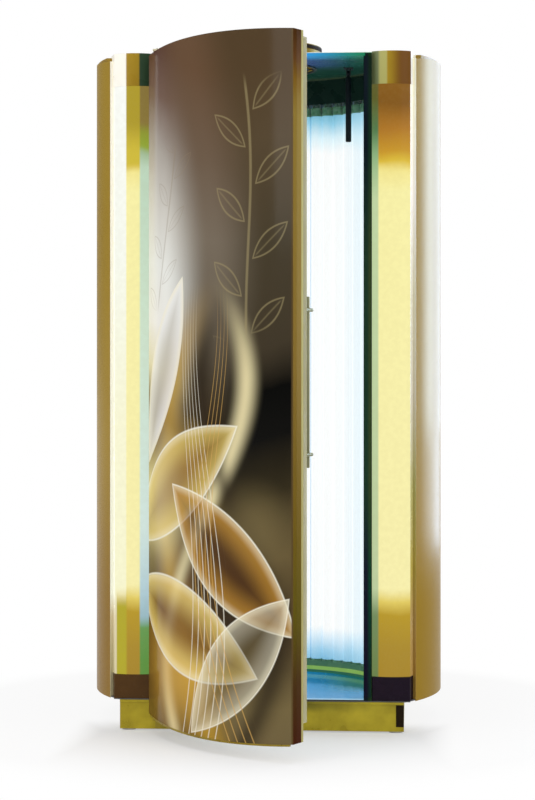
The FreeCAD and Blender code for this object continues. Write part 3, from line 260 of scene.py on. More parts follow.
def roof_finish():
    """Champagne paint on top and round the rim, a pale front edge, and a ceiling painted blue-green with a
    glow as painted lamp light, with painted shade towards the back.
    """
    s = Sheet("roof_paint")
    cloud = s.noise(5.0, 3.0)
    top = s.mix(cloud, rgb(154, 124, 44), rgb(168, 138, 56))
    across = s.fade(s.x, 0.10, 0.33)
    # Painted lamp light: the ceiling's blue and green stand for the lamps' glow; darker towards the back as
    # painted shade.
    blue = s.mix(cloud, rgb(34, 116, 184), rgb(52, 148, 206))
    green = s.mix(cloud, rgb(16, 96, 62), rgb(30, 120, 84))
    under = s.mix(across, blue, green)
    violet = s.mix(across, rgb(42, 62, 112), rgb(14, 66, 48))
    under = s.mix(s.fade(s.y, -0.27, -0.17), under, violet)
    under = s.mix(s.fade(s.y, -0.12, 0.05), under, rgb(14, 48, 38))
    radius = s.hypotenuse(s.x, s.y)
    ceiling = 2.1445
    below = s.fade(s.z, ceiling + 0.0002, ceiling - 0.0002)
    inside = s.math("MULTIPLY", below, s.fade(radius, 0.520, 0.510))
    colour = s.mix(inside, top, under)
    above = s.fade(s.z, ceiling - 0.0005, ceiling + 0.0001)
    front = s.math("MULTIPLY", s.fade(s.y, -0.3355, -0.3365), above)
    colour = s.mix(front, colour, rgb(228, 238, 226))
    roughness = s.fade(cloud, 0.3, 0.7, 0.22, 0.32)
    # Painted glow: the ceiling glows though it is no lamp.
    glow = s.mix(s.math("MULTIPLY", inside, 0.55), NO_GLOW, under)
    return s.surface(colour, roughness, s.normal(edge=0.001), glow, Specular_IOR_Level=0.15)


def edge_tone(s, cloud):
    """Gold of the door's free edge, darker towards both ends."""
    height = s.math("MULTIPLY_ADD", cloud, 0.06, s.math("SUBTRACT", s.z, 0.03))
    level = s.math("DIVIDE", height, BOOTH_HEIGHT)
    return s.ramp(level, [(0.03, rgb(76, 38, 22)), (0.11, rgb(82, 56, 28)), (0.20, rgb(104, 92, 28)),
                          (0.34, rgb(126, 102, 36)), (0.55, rgb(148, 120, 54)), (0.88, rgb(156, 130, 58)),
                          (0.925, rgb(134, 100, 36)), (0.95, rgb(106, 70, 36)), (0.985, rgb(80, 50, 22))])


def profile_finish():
    """Gold door profile with a painted highlight as a cream strip along its inner corner."""
    s = Sheet("profile_gold")
    cloud = s.noise(14.0, 4.0)
    inward = door_depth_at(s)
    # Painted highlight: the cream strip along the inner corner.
    cream = s.mix(cloud, rgb(184, 172, 108), rgb(200, 192, 130))
    strip = s.fade(inward, 0.0490, 0.0530)
    tone = s.mix(strip, edge_tone(s, cloud), cream)
    return s.surface(tone, s.fade(cloud, 0.3, 0.7, 0.3, 0.4), s.normal(edge=0.0012), Metallic=0.08,
                     Specular_IOR_Level=0.0)


def fold_glow_finish():
    """Outer side walls of the columns, with the folds' painted highlight and a painted glow, though they are
    no lamp.
    """
    s = Sheet("column_side_painted_glow")
    cloud = s.noise(12.0, 4.0)
    tone = s.mix(s.fade(cloud, 0.3, 0.7, 0.0, 0.08), fold_highlight_tone(s), rgb(206, 200, 180))
    # Painted glow: the side walls are no lamp.
    glow = s.mix(0.7, tone, NO_GLOW)
    return s.surface(tone, s.fade(cloud, 0.3, 0.7, 0.2, 0.3), None, glow, Specular_IOR_Level=0.3)


def apron_finish():
    """Dark green upper apron above the lamps, and a lighter green lower one below them that glows with
    painted lamp light.
    """
    s = Sheet("apron_paint")
    cloud = s.noise(16.0, 4.0)
    dark = s.mix(cloud, rgb(6, 24, 20), rgb(30, 54, 44))
    light = s.mix(cloud, rgb(64, 104, 78), rgb(92, 132, 98))
    low = s.fade(s.z, 1.2, 0.9)
    tone = s.mix(low, dark, light)
    # Painted glow: the lower apron is no lamp.
    glow = s.mix(s.math("MULTIPLY", low, 0.25), NO_GLOW, tone)
    return s.surface(tone, s.fade(cloud, 0.3, 0.7, 0.20, 0.32), None, glow, Specular_IOR_Level=0.2)


def plinth_finish():
    """Yellow-gold plinth, with a painted shadow just below the edge of the platform, darkest near the door.
    """
    s = Sheet("plinth_gold")
    cloud = s.noise(14.0, 4.0)
    gold = s.mix(s.fade(cloud, 0.3, 0.7), rgb(166, 148, 38), rgb(196, 176, 50))
    # Painted shadow of the door and the platform's edge on the plinth's top zone.
    under = s.math("MULTIPLY", s.fade(s.z, 0.058, 0.082), s.fade(s.x, 0.38, 0.10, 0.15, 0.60))
    under = s.math("MULTIPLY", under, s.fade(s.x, -0.30, 0.0))
    colour = s.mix(under, gold, rgb(72, 76, 30))
    return s.surface(colour, s.fade(cloud, 0.3, 0.7, 0.26, 0.38), s.normal(edge=0.0012), Metallic=0.2,
                     Specular_IOR_Level=0.15)


def highlight_side(s):
    """Mask of the painted highlight on the outer strip of both columns, narrower on the right and at the
    foot.
    """
    wide = s.math("MULTIPLY", s.fade(s.x, -0.429, -0.433), s.fade(s.z, 0.385, 0.465))
    narrow = s.fade(s.x, -0.461, -0.465)
    return s.math("MAXIMUM", s.math("MAXIMUM", wide, narrow), s.fade(s.x, 0.4700, 0.4745))


def column_glow():
    """Lit column front: pale in the middle, gold to both ends, a painted reflection in green or mint at the
    inner edge and a painted highlight on the outer strip.
    """
    s = Sheet("column_glow")
    waver = s.math("MULTIPLY", s.math("SUBTRACT", s.noise(6.0, 2.0), 0.5), 0.05)
    level = s.math("DIVIDE", s.math("ADD", s.z, waver), BOOTH_HEIGHT)
    glow = s.ramp(level, [(0.0, rgb(158, 124, 42)), (0.120, rgb(168, 136, 46)),
                          (0.172, rgb(182, 150, 42)), (0.192, rgb(226, 204, 100)),
                          (0.212, rgb(247, 239, 174)), (0.795, rgb(247, 240, 168)),
                          (0.822, rgb(243, 230, 146)), (0.836, rgb(218, 186, 60)),
                          (0.852, rgb(198, 148, 42)), (0.885, rgb(172, 116, 38)),
                          (0.925, rgb(126, 82, 24)), (1.0, rgb(138, 94, 28))])
    left = s.fade(s.x, 0.1, -0.1)
    olive = s.math("MULTIPLY", left, s.fade(level, 0.818, 0.838))
    high_olive = s.mix(s.fade(level, 0.845, 0.90), rgb(206, 186, 60), rgb(172, 152, 44))
    glow = s.mix(olive, glow, high_olive)
    low_olive = s.math("MULTIPLY", s.fade(s.x, -0.425, -0.435), s.fade(level, 0.205, 0.175))
    glow = s.mix(low_olive, glow, rgb(176, 166, 46))
    # Painted reflection: the green and mint at the inner edge.
    green = s.ramp(level, [(0.0, rgb(96, 116, 50)), (0.17, rgb(112, 140, 96)),
                           (0.21, rgb(188, 206, 160)), (0.785, rgb(192, 214, 166)),
                           (0.845, rgb(140, 180, 130)), (0.885, rgb(78, 122, 78)),
                           (0.93, rgb(88, 92, 42)), (1.0, rgb(90, 86, 46))])
    mint = s.ramp(level, [(0.10, rgb(88, 142, 66)), (0.152, rgb(98, 152, 84)),
                          (0.166, rgb(152, 186, 198)), (0.21, rgb(180, 208, 216)),
                          (0.30, rgb(208, 228, 222)), (0.60, rgb(204, 226, 204)),
                          (0.830, rgb(188, 214, 190)), (0.850, rgb(160, 186, 150)),
                          (0.860, rgb(142, 164, 56)), (0.880, rgb(138, 148, 50)),
                          (0.896, rgb(132, 114, 58)), (1.0, rgb(126, 106, 56))])
    reach = absolute(s, s.math("ADD", s.x, 0.009))
    glow = s.mix(s.fade(reach, 0.3815, 0.3755), glow, s.mix(left, green, mint))
    # Painted highlight: the pale outer strip.
    pale = s.ramp(level, [(0.0, rgb(206, 196, 156)), (0.165, rgb(222, 210, 176)), (0.205, rgb(247, 246, 208)),
                          (0.45, rgb(248, 247, 214)), (0.70, rgb(246, 249, 238)), (1.0, rgb(248, 250, 246))])
    glow = s.mix(highlight_side(s), glow, pale)
    grain = s.noise(60.0)
    glow = s.mix(s.fade(grain, 0.3, 0.7, 0.04, 0.10), glow, rgb(150, 130, 70))
    shade = s.mix(0.94, glow, rgb(8, 6, 3))
    return s.surface(shade, s.fade(grain, 0.3, 0.7, 0.22, 0.30), None, glow, Specular_IOR_Level=0.06)


def cap_finish():
    """Gold sleeve over a column's head, darker towards the outside, with a painted highlight and glow on the
    outer side and a painted reflection in green or pale on the inner one.
    """
    s = Sheet("column_cap_gold")
    cloud = s.noise(9.0, 3.0)
    gold = s.mix(cloud, rgb(158, 122, 30), rgb(178, 148, 42))
    outwards = s.fade(s.x, 0.395, 0.445)
    gold = s.mix(outwards, gold, rgb(118, 76, 24))
    # Painted reflection of the lamps: the green or pale inner side.
    pale_inner = s.mix(s.fade(s.x, 0.366, 0.376), rgb(116, 126, 84), rgb(182, 176, 104))
    inner = s.mix(s.on_right(), rgb(50, 72, 50), pale_inner)
    reach = absolute(s, s.math("SUBTRACT", s.x, 0.004))
    gold = s.mix(s.fade(reach, 0.396, 0.390), gold, inner)
    # Painted highlight and glow on the outer side; the sleeve is no lamp.
    pale = highlight_side(s)
    colour = s.mix(pale, gold, rgb(240, 236, 224))
    roughness = s.fade(cloud, 0.3, 0.7, 0.24, 0.36)
    glow = s.mix(pale, NO_GLOW, rgb(118, 116, 108))
    return s.surface(colour, roughness, s.normal(edge=0.0015), glow, Specular_IOR_Level=0.10)


def lamp_finish():
    """Lit tube: nearly white, with a blue cast close to both ends."""
    s = Sheet("lit_lamp")
    ripple = s.math("MULTIPLY", s.math("SUBTRACT", s.noise(14.0, 2.0, (1, 1, 0.2)), 0.5), 0.07)
    level = s.math("DIVIDE", s.math("ADD", s.z, ripple), LAMP_HEIGHT)
    glow = s.ramp(level, [(0.0, rgb(84, 160, 190)), (0.062, rgb(110, 176, 210)),
                          (0.085, rgb(160, 208, 234)), (0.108, rgb(222, 240, 250)),
                          (0.124, rgb(255, 255, 253)), (0.900, rgb(255, 255, 253)),
                          (0.925, rgb(222, 244, 250)), (0.950, rgb(140, 202, 226)),
                          (0.965, rgb(110, 176, 200)), (1.0, rgb(80, 150, 150))])
    cool = s.mix(s.fade(s.x, 0.20, 0.33, 0.0, 0.8), glow, rgb(196, 234, 250))
    return s.surface(rgb(40, 50, 56), 0.2, None, s.mix(0.5, glow, cool), Specular_IOR_Level=0.2)


def skin_place(s):
    """Coordinates on the door's skin: width -1 to 1 from hinge to free end, height 0 to 1."""
    across, along = from_door_centre(s)
    turn = s.math("ARCTAN2", across, s.math("MULTIPLY", along, -1.0))
    turn = s.math("ADD", turn, -DOOR_OPEN)
    u = s.math("DIVIDE", turn, DOOR_HALF)
    v = s.math("DIVIDE", s.math("SUBTRACT", s.z, DOOR_LOW), DOOR_HIGH - DOOR_LOW)
    return u, v


def winding_line(s, v, base, lean, swing, turn):
    """Leaning line up the door that swings by the sine of its turn."""
    bend = s.math("SINE", turn)
    return s.math("ADD", s.math("MULTIPLY_ADD", bend, swing, base), s.math("MULTIPLY", v, lean))


def ribbon(s, u, v, base, lean, swing, waves, phase, width):
    """Soft band that winds up the door."""
    turn = s.math("MULTIPLY_ADD", v, waves * math.tau, phase)
    gap = absolute(s, s.math("SUBTRACT", u, winding_line(s, v, base, lean, swing, turn)))
    return s.math("POWER", s.fade(gap, width, 0.0), 1.6)


def strands(s, u, v, base, lean, swing, waves, phase, width, count):
    """Bundle of fine lines that follow one winding path and spread along it."""
    turn = s.math("MULTIPLY_ADD", v, waves * math.tau, phase)
    line = winding_line(s, v, base, lean, swing, turn)
    spread = s.math("MULTIPLY_ADD", s.math("COSINE", s.math("MULTIPLY", v, 5.0)), width * 0.4, width)
    place = s.math("DIVIDE", s.math("SUBTRACT", u, line), spread)
    inside = s.fade(absolute(s, place), 1.0, 0.8)
    comb = absolute(s, s.math("SUBTRACT", s.math("FRACT", s.math("MULTIPLY", place, count / 2)), 0.5))
    return s.math("MULTIPLY", inside, s.fade(comb, 0.12, 0.02))


def from_spot(s, u, v, centre):
    """Offsets from a spot on the door, both in its half-widths."""
    rise = s.math("MULTIPLY", s.math("SUBTRACT", v, centre[1]), DOOR_TALL)
    return s.math("SUBTRACT", u, centre[0]), rise


def tilted(s, across, up, tilt):
    """Offsets turned to run along a tilted line and square to it."""
    cos, sin = math.cos(tilt), math.sin(tilt)
    run = s.math("ADD", s.math("MULTIPLY", across, cos), s.math("MULTIPLY", up, sin))
    off = s.math("SUBTRACT", s.math("MULTIPLY", up, cos), s.math("MULTIPLY", across, sin))
    return run, off


def petal(s, u, v, centre, tilt, length, width):
    """Lens shape: its fill, its thin rim and the field that both come from, 1 along the rim."""
    run, off = tilted(s, *from_spot(s, u, v, centre), tilt)
    field = s.math("ADD", s.math("POWER", s.math("DIVIDE", run, length), 2.0),
                   s.math("DIVIDE", absolute(s, off), width))
    fill = s.fade(field, 1.0, 0.93)
    rim = s.fade(absolute(s, s.math("SUBTRACT", field, 0.985)), 0.045, 0.0)
    return fill, rim, field


def glow_spot(s, u, v, centre, reach):
    """Soft round patch."""
    far = s.hypotenuse(*from_spot(s, u, v, centre))
    return s.fade(far, reach, reach * 0.1)


def sprig(s, u, v, base, lean, swing, low, high, pitch, leaf):
    """Pale outlined leaves that sit by turns left and right of a thin stem."""
    line = winding_line(s, v, base, lean, swing, s.math("MULTIPLY", v, 9.0))
    off = s.math("SUBTRACT", u, line)
    step = s.math("DIVIDE", v, pitch)
    odd = s.math("FLOORED_MODULO", s.math("FLOOR", step), 2.0)
    turn = s.math("SUBTRACT", s.math("MULTIPLY", odd, 2.0), 1.0)
    local = s.math("MULTIPLY", s.math("SUBTRACT", s.math("FRACT", step), 0.5), pitch * DOOR_TALL)
    sideways = s.math("SUBTRACT", s.math("MULTIPLY", off, turn), leaf * 0.78)
    run, side = tilted(s, sideways, local, 0.75)
    field = s.math("ADD", s.math("POWER", s.math("DIVIDE", run, leaf * 0.82), 2.0),
                   s.math("DIVIDE", absolute(s, side), leaf * 0.30))
    rim = s.fade(absolute(s, s.math("SUBTRACT", field, 0.93)), 0.16, 0.02)
    vein = s.math("MULTIPLY", s.fade(field, 0.8, 0.5), s.fade(absolute(s, side), leaf * 0.05, 0.0))
    stem = s.fade(absolute(s, off), 0.020, 0.005)
    lines = s.math("MAXIMUM", s.math("MAXIMUM", rim, stem), s.math("MULTIPLY", vein, 0.6))
    window = s.math("MULTIPLY", s.fade(v, low, low + 0.03), s.fade(v, high, high - 0.03))
    return s.math("MULTIPLY", lines, window)


def door_art():
    """Printed door: a bronze to mauve ground, winding bands, lens shapes and a leafy sprig."""
    s = Sheet("door_print")
    u, v = skin_place(s)
    cloud = s.noise(2.2, 4.0, (1, 1, 0.6))
    drift = s.math("MULTIPLY", s.math("SUBTRACT", cloud, 0.5), 0.10)
    sway = s.math("MULTIPLY", s.math("SINE", s.math("MULTIPLY_ADD", u, 2.1, 0.6)), 0.035)
    level = s.math("ADD", s.math("ADD", v, sway), drift)
    left = s.ramp(level, [(0.0, rgb(116, 88, 34)), (0.10, rgb(110, 78, 32)), (0.20, rgb(158, 122, 52)),
                          (0.29, rgb(92, 64, 22)), (0.36, rgb(184, 148, 60)), (0.43, rgb(116, 82, 26)),
                          (0.50, rgb(236, 226, 186)), (0.57, rgb(250, 247, 238)), (0.66, rgb(244, 244, 236)),
                          (0.74, rgb(220, 216, 206)), (0.82, rgb(182, 174, 164)), (0.90, rgb(122, 98, 86)),
                          (0.96, rgb(90, 60, 50))])
    middle = s.ramp(level, [(0.0, rgb(98, 76, 30)), (0.10, rgb(104, 78, 32)), (0.20, rgb(138, 102, 50)),
                            (0.30, rgb(84, 60, 28)), (0.40, rgb(166, 136, 64)), (0.47, rgb(70, 54, 26)),
                            (0.54, rgb(84, 74, 58)), (0.64, rgb(112, 102, 86)), (0.74, rgb(122, 110, 94)),
                            (0.84, rgb(112, 94, 76)), (0.96, rgb(106, 80, 58))])
    right = s.ramp(level, [(0.0, rgb(114, 98, 66)), (0.09, rgb(120, 104, 66)), (0.19, rgb(62, 48, 28)),
                           (0.28, rgb(104, 88, 54)), (0.38, rgb(50, 42, 22)), (0.46, rgb(8, 7, 4)),
                           (0.535, rgb(4, 4, 2)), (0.60, rgb(66, 57, 42)), (0.72, rgb(72, 63, 46)),
                           (0.86, rgb(88, 73, 52)), (0.97, rgb(84, 66, 44))])
    shift = s.math("ADD", u, s.math("MULTIPLY", s.math("SINE", s.math("MULTIPLY", v, 7.0)), 0.22))
    ground = s.mix(s.fade(shift, -0.80, -0.10), left, middle)
    ground = s.mix(s.fade(shift, -0.05, 0.55), ground, right)

    def lay(base, mask, colour, amount):
        return s.mix(s.math("MULTIPLY", mask, amount), base, colour)

    art = ground
    low_half = s.fade(v, 0.66, 0.50)
    wide = s.math("MULTIPLY", ribbon(s, u, v, -0.15, 0.15, 0.55, 0.95, 2.6, 0.42), low_half)
    art = lay(art, wide, rgb(190, 150, 50), 0.80)
    pale = s.math("MULTIPLY", ribbon(s, u, v, 0.10, -0.30, 0.60, 1.15, 4.1, 0.20), low_half)
    art = lay(art, pale, rgb(242, 228, 176), 0.85)
    dark = s.math("MULTIPLY", ribbon(s, u, v, 0.35, 0.25, 0.45, 1.35, 0.4, 0.26), low_half)
    art = lay(art, dark, rgb(36, 26, 14), 0.7)
    for centre, reach, colour, amount in (
            ((-0.80, 0.330), 0.85, (250, 238, 176), 0.80),
            ((-0.90, 0.435), 0.55, (92, 62, 18), 0.80),
            ((-0.95, 0.210), 0.60, (66, 46, 14), 0.85),
            ((0.25, 0.215), 0.75, (40, 28, 18), 0.75),
            ((-0.30, 0.095), 0.80, (214, 166, 62), 0.80),
            ((0.62, 0.300), 0.50, (128, 112, 72), 0.55)):
        art = lay(art, glow_spot(s, u, v, centre, reach), rgb(*colour), amount)
    for centre, tilt, length, width, heart, border, amount in (
            ((-0.42, 0.355), 0.55, 1.02, 0.36, (150, 104, 30), (238, 208, 112), 0.62),
            ((0.30, 0.255), -0.70, 0.95, 0.34, (84, 50, 16), (196, 142, 52), 0.72),
            ((-0.28, 0.150), -0.35, 1.00, 0.38, (112, 72, 20), (246, 216, 124), 0.72),
            ((0.42, 0.105), 0.85, 0.82, 0.30, (110, 96, 62), (214, 206, 180), 0.50),
            ((-0.62, 0.520), 1.15, 0.90, 0.26, (206, 202, 190), (252, 251, 246), 0.75)):
        fill, rim, field = petal(s, u, v, centre, tilt, length, width)
        shade = s.mix(s.fade(field, 0.05, 0.95), rgb(*heart), rgb(*border))
        art = lay(art, fill, shade, amount)
        art = lay(art, s.math("MULTIPLY", fill, s.fade(field, 0.72, 1.0)), rgb(252, 242, 206), 0.45)
        art = lay(art, rim, rgb(254, 248, 226), 0.85)
    art = lay(art, s.math("MULTIPLY", strands(s, u, v, -0.35, 0.9, 0.35, 0.85, 1.2, 0.22, 7), low_half),
              rgb(250, 243, 222), 0.65)
    art = lay(art, s.math("MULTIPLY", strands(s, u, v, 0.55, -0.9, 0.30, 1.10, 3.3, 0.16, 5), low_half),
              rgb(222, 176, 96), 0.60)
    art = lay(art, sprig(s, u, v, 0.95, -0.55, 0.10, 0.56, 0.94, 0.052, 0.27), rgb(176, 160, 114), 0.40)
    art = lay(art, sprig(s, u, v, -1.25, 0.95, 0.08, 0.60, 0.86, 0.038, 0.19), rgb(150, 132, 104), 0.30)
    edge = s.fade(u, 0.972, 0.990)
    art = s.mix(edge, art, rgb(92, 72, 38))
    fold_start, fold_end = 0.9945, 0.9985
    beyond = s.fade(u, fold_start, fold_end)
    turned_in = s.math("MAXIMUM", beyond, s.fade(door_depth_at(s), 0.005, 0.008))
    art = s.mix(turned_in, art, edge_tone(s, cloud))
    roughness = s.fade(cloud, 0.3, 0.7, 0.10, 0.16)
    gloss = s.fade(u, fold_end, fold_start, 0.0, 0.07)
    return s.surface(art, roughness, s.normal(edge=0.0012), Specular_IOR_Level=gloss)


def clear_sheet():
    """Thin clear acrylic."""
    s = Sheet("clear_acrylic")
    grain = s.noise(4.0)
    colour = s.mix(grain, rgb(206, 232, 240), rgb(226, 244, 250))
    return s.surface(colour, s.fade(grain, 0.3, 0.7, 0.03, 0.06), Alpha=0.05)


def door_cover_finish():
    """Formed acrylic tray: clear in front of the lamps, milky along its folded side."""
    s = Sheet("tray_acrylic")
    u, _ = skin_place(s)
    grain = s.noise(4.0)
    colour = s.mix(grain, rgb(190, 184, 134), rgb(204, 198, 150))
    alpha = s.fade(absolute(s, u), 0.975, 0.99, 0.14, 0.72)
    return s.surface(colour, s.fade(grain, 0.3, 0.7, 0.08, 0.14), Alpha=alpha)


def jamb_finish():
    """Dark jambs: blue-black beside the doorway, dark green beside the columns."""
    s = Sheet("jamb_paint")
    grain = s.noise(7.0, 4.0, (1, 1, 0.25))
    inner = s.mix(grain, rgb(2, 12, 16), rgb(12, 30, 40))
    outer = s.mix(grain, rgb(10, 36, 12), rgb(40, 70, 30))
    outwards = s.fade(absolute(s, s.x), 0.334, 0.341)
    colour = s.mix(outwards, inner, outer)
    return s.surface(colour, s.fade(grain, 0.3, 0.7, 0.24, 0.36), s.normal(edge=0.001),
                     Specular_IOR_Level=0.08)


def seal_finish():
    """Dark rubber strips: blue-black at the head and the foot, greener in between and outwards."""
    s = Sheet("seal_green")
    grain = s.noise(5.0, 4.0, (1, 1, 0.2))
    level = s.level()
    inner = s.ramp(level, [(0.08, rgb(22, 14, 40)), (0.24, rgb(22, 30, 46)), (0.36, rgb(30, 62, 42)),
                           (0.70, rgb(32, 62, 42)), (0.86, rgb(8, 22, 34)), (0.98, rgb(16, 24, 36))])
    outer = s.ramp(level, [(0.08, rgb(16, 50, 40)), (0.22, rgb(12, 72, 48)), (0.36, rgb(56, 76, 40)),
                           (0.70, rgb(58, 76, 40)), (0.86, rgb(20, 56, 36)), (0.98, rgb(18, 40, 24))])
    outwards = s.fade(absolute(s, s.x), 0.333, 0.343)
    tone = s.mix(outwards, inner, outer)
    colour = s.mix(s.fade(grain, 0.3, 0.7, 0.0, 0.25), tone, rgb(6, 20, 14))
    return s.surface(colour, s.fade(grain, 0.3, 0.7, 0.5, 0.65), s.normal(grain, 0.05),
                     Specular_IOR_Level=0.06)


def block_finish():
    """Dark gloss blocks under the columns, with a painted reflection making the left one browner."""
    s = Sheet("dark_gloss")
    cloud = s.noise(18.0, 4.0)
    # Painted reflection: the left block's brown.
    reflected_brown = s.mix(cloud, rgb(72, 46, 18), rgb(98, 68, 30))
    plum = s.mix(cloud, rgb(20, 8, 24), rgb(32, 16, 34))
    colour = s.mix(s.fade(s.x, -0.2, 0.2), reflected_brown, plum)
    return s.surface(colour, s.fade(cloud, 0.3, 0.7, 0.2, 0.3), s.normal(edge=0.0015),
                     Specular_IOR_Level=0.1)


def bracket_finish():
    """Painted pivot brackets: gold below, cream above."""
    s = Sheet("bracket_paint")
    cloud = s.noise(18.0, 4.0)
    gold = s.mix(cloud, rgb(150, 132, 46), rgb(170, 152, 60))
    cream = s.mix(cloud, rgb(206, 200, 172), rgb(224, 218, 192))
    colour = s.mix(s.fade(s.z, 0.8, 1.2), gold, cream)
    return s.surface(colour, s.fade(cloud, 0.3, 0.7, 0.3, 0.4), s.normal(edge=0.001), Specular_IOR_Level=0.1)


def platform_finish():
    """Blue glossy sheet to stand on, with a painted highlight along the front, painted shade at its edge, and
    a painted glow.
    """
    s = Sheet("platform_gloss")
    cloud = s.noise(7.0, 2.0)
    colour = s.mix(cloud, rgb(4, 104, 160), rgb(14, 130, 188))
    teal = s.math("MULTIPLY", s.fade(s.x, 0.14, 0.30), s.fade(s.y, -0.25, -0.05))
    colour = s.mix(teal, colour, rgb(8, 98, 98))
    # Painted highlight along the front, then painted shade at the very edge.
    behind_painted_shine = s.fade(s.y, -0.330, -0.300)
    colour = s.mix(behind_painted_shine, rgb(150, 190, 214), colour)
    behind_painted_shade = s.fade(s.y, -0.3360, -0.3345)
    colour = s.mix(behind_painted_shade, rgb(40, 36, 30), colour)
    # Painted glow: the platform is no lamp.
    glow = s.mix(0.75, colour, NO_GLOW)
    return s.surface(colour, s.fade(cloud, 0.3, 0.7, 0.07, 0.13), s.normal(s.noise(60.0), 0.04), glow,
                     Specular_IOR_Level=0.12)


def trim_finish():
    """Trim rings: dull grey-green above; below, bright yellow-green with a duller foot, glowing with painted
    lamp light.
    """
    s = Sheet("light_trim")
    cloud = s.noise(12.0, 4.0)
    high = s.mix(cloud, rgb(58, 74, 50), rgb(84, 98, 76))
    low = s.mix(cloud, rgb(134, 176, 84), rgb(158, 198, 100))
    foot = s.fade(s.z, 0.1130, 0.1110)
    low = s.mix(foot, low, rgb(52, 108, 82))
    part = s.fade(s.z, 1.2, 0.9)
    colour = s.mix(part, high, low)
    # Painted glow: the lower trim ring is no lamp.
    glow = s.mix(s.math("MULTIPLY", part, 0.35), NO_GLOW, colour)
    return s.surface(colour, s.fade(cloud, 0.3, 0.7, 0.2, 0.3), None, glow, Specular_IOR_Level=0.1)


MATERIALS = {
    "shell": shell_finish(),
    "roof": roof_finish(),
    "plinth": plinth_finish(),
    "collar": finish("collar_gold", rgb(138, 114, 30), rgb(164, 142, 44), (0.26, 0.38), 14.0,
                     edge=0.0012, Metallic=0.2, Specular_IOR_Level=0.2),
    "profile": profile_finish(),
    "cap": cap_finish(),
    "glow": column_glow(),
    "lamp": lamp_finish(),
    "art": door_art(),
    "acrylic": clear_sheet(),
    "tray": door_cover_finish(),
    "platform": platform_finish(),
    "column_side": fold_glow_finish(),
    "block": block_finish(),
    "bracket": bracket_finish(),
    "jamb": jamb_finish(),
    "ring": apron_finish(),
    "seal": seal_finish(),
    "frame": finish("frame_paint", rgb(84, 84, 88), rgb(102, 102, 106), (0.45, 0.6), 40.0, bump=0.1),
    "zinc": finish("zinc_plate", rgb(150, 150, 146), rgb(190, 188, 180), (0.28, 0.45), 60.0, bump=0.05,
                   Metallic=1.0),
    "handle": finish("satin_handle", rgb(122, 122, 92), rgb(148, 148, 114), (0.28, 0.38), 40.0,
                     (1, 1, 0.05), edge=0.0006, Metallic=0.15, Specular_IOR_Level=0.1),
    "bright": finish("bright_steel", rgb(196, 190, 176), rgb(222, 218, 206), (0.12, 0.22), 40.0,
                     (1, 1, 0.05), edge=0.0006, Metallic=1.0),
    "cap_end": finish("lamp_end_caps", rgb(64, 128, 78), rgb(104, 160, 116), (0.25, 0.35), 80.0,
                      Specular_IOR_Level=0.15),
    "socket": finish("lamp_socket_plastic", rgb(22, 64, 34), rgb(42, 88, 54), (0.4, 0.5), 60.0,
                     bump=0.05, Specular_IOR_Level=0.1),
    # Painted lamp light: the reflector's blue stands for the lamps' blue cast between the tubes.
    "reflector": finish("reflector_sheet", rgb(120, 176, 214), rgb(150, 200, 230), (0.26, 0.38), 30.0,
                        (1, 1, 0.1), Metallic=0.8),
    "rubber": finish("seal_rubber", rgb(24, 14, 4), rgb(40, 28, 8), (0.55, 0.7), 120.0, bump=0.15,
                     Specular_IOR_Level=0.1),
    "grip": finish("grip_rubber", rgb(8, 14, 18), rgb(20, 28, 32), (0.45, 0.6), 200.0, bump=0.25,
                   Specular_IOR_Level=0.15),
    "black": finish("black_plastic", rgb(16, 18, 20), rgb(30, 32, 34), (0.35, 0.5), 150.0, bump=0.1,
                    edge=0.001),
    "trim": trim_finish(),
    "start": finish("start_green", rgb(24, 130, 60), rgb(40, 154, 78), (0.25, 0.35), 90.0, edge=0.0005),
    "stop": finish("stop_red", rgb(160, 24, 20), rgb(190, 40, 32), (0.25, 0.35), 90.0, edge=0.0005),
}

WEARS = {
    "shell": ("left_shell", "right_shell", "rear_cover"),
    "roof": ("roof_panel",),
    "plinth": ("plinth_front", "plinth_skirt"),
    "collar": ("exhaust_collar", "door_end_caps"),
    "profile": ("door_edge_profile",),
    "cap": ("column_caps",),
    "glow": ("left_column_diffuser", "right_column_diffuser"),
    "column_side": ("left_column_body", "right_column_body"),
    "lamp": ("left_lamps", "rear_lamps", "right_lamps", "column_lamps", "door_lamps"),
    "art": ("door_skin", "door_hinge_profile"),
    "acrylic": ("left_acrylic", "rear_acrylic", "right_acrylic"),
    "tray": ("door_cover",),
    "platform": ("standing_platform",),
    "block": ("column_bases",),
    "bracket": ("pivot_brackets",),
    "jamb": ("left_jamb", "right_jamb"),
    "ring": ("upper_lamp_ring", "lower_lamp_ring"),
    "frame": ("base_frame", "floor_plate", "ballasts"),
    "zinc": ("levelling_feet", "frame_posts", "fan_bracket", "ballast_board"),
    "handle": ("door_handle",),
    "bright": ("shell_screws", "pivot_pins"),
    "cap_end": ("lamp_caps",),
    "socket": ("lamp_sockets",),
    "reflector": ("lamp_reflector", "door_reflector"),
    "seal": ("jamb_seals",),
    "rubber": ("collar_seal", "plinth_end_strip"),
    "grip": ("left_hand_grip", "right_hand_grip"),
    "black": ("mains_gland", "fan_motor", "fan_rotor", "fan_guard", "control_panel", "grip_brackets"),
    "trim": ("trim_rings",),
    "start": ("start_button",),
    "stop": ("stop_button",),
}
for finish_name, names in WEARS.items():
    for name in names:
        materials = NODES[name].data.materials
        materials.clear()
        materials.append(MATERIALS[finish_name])


# ---------------------------------------------------------------- stage, light and camera

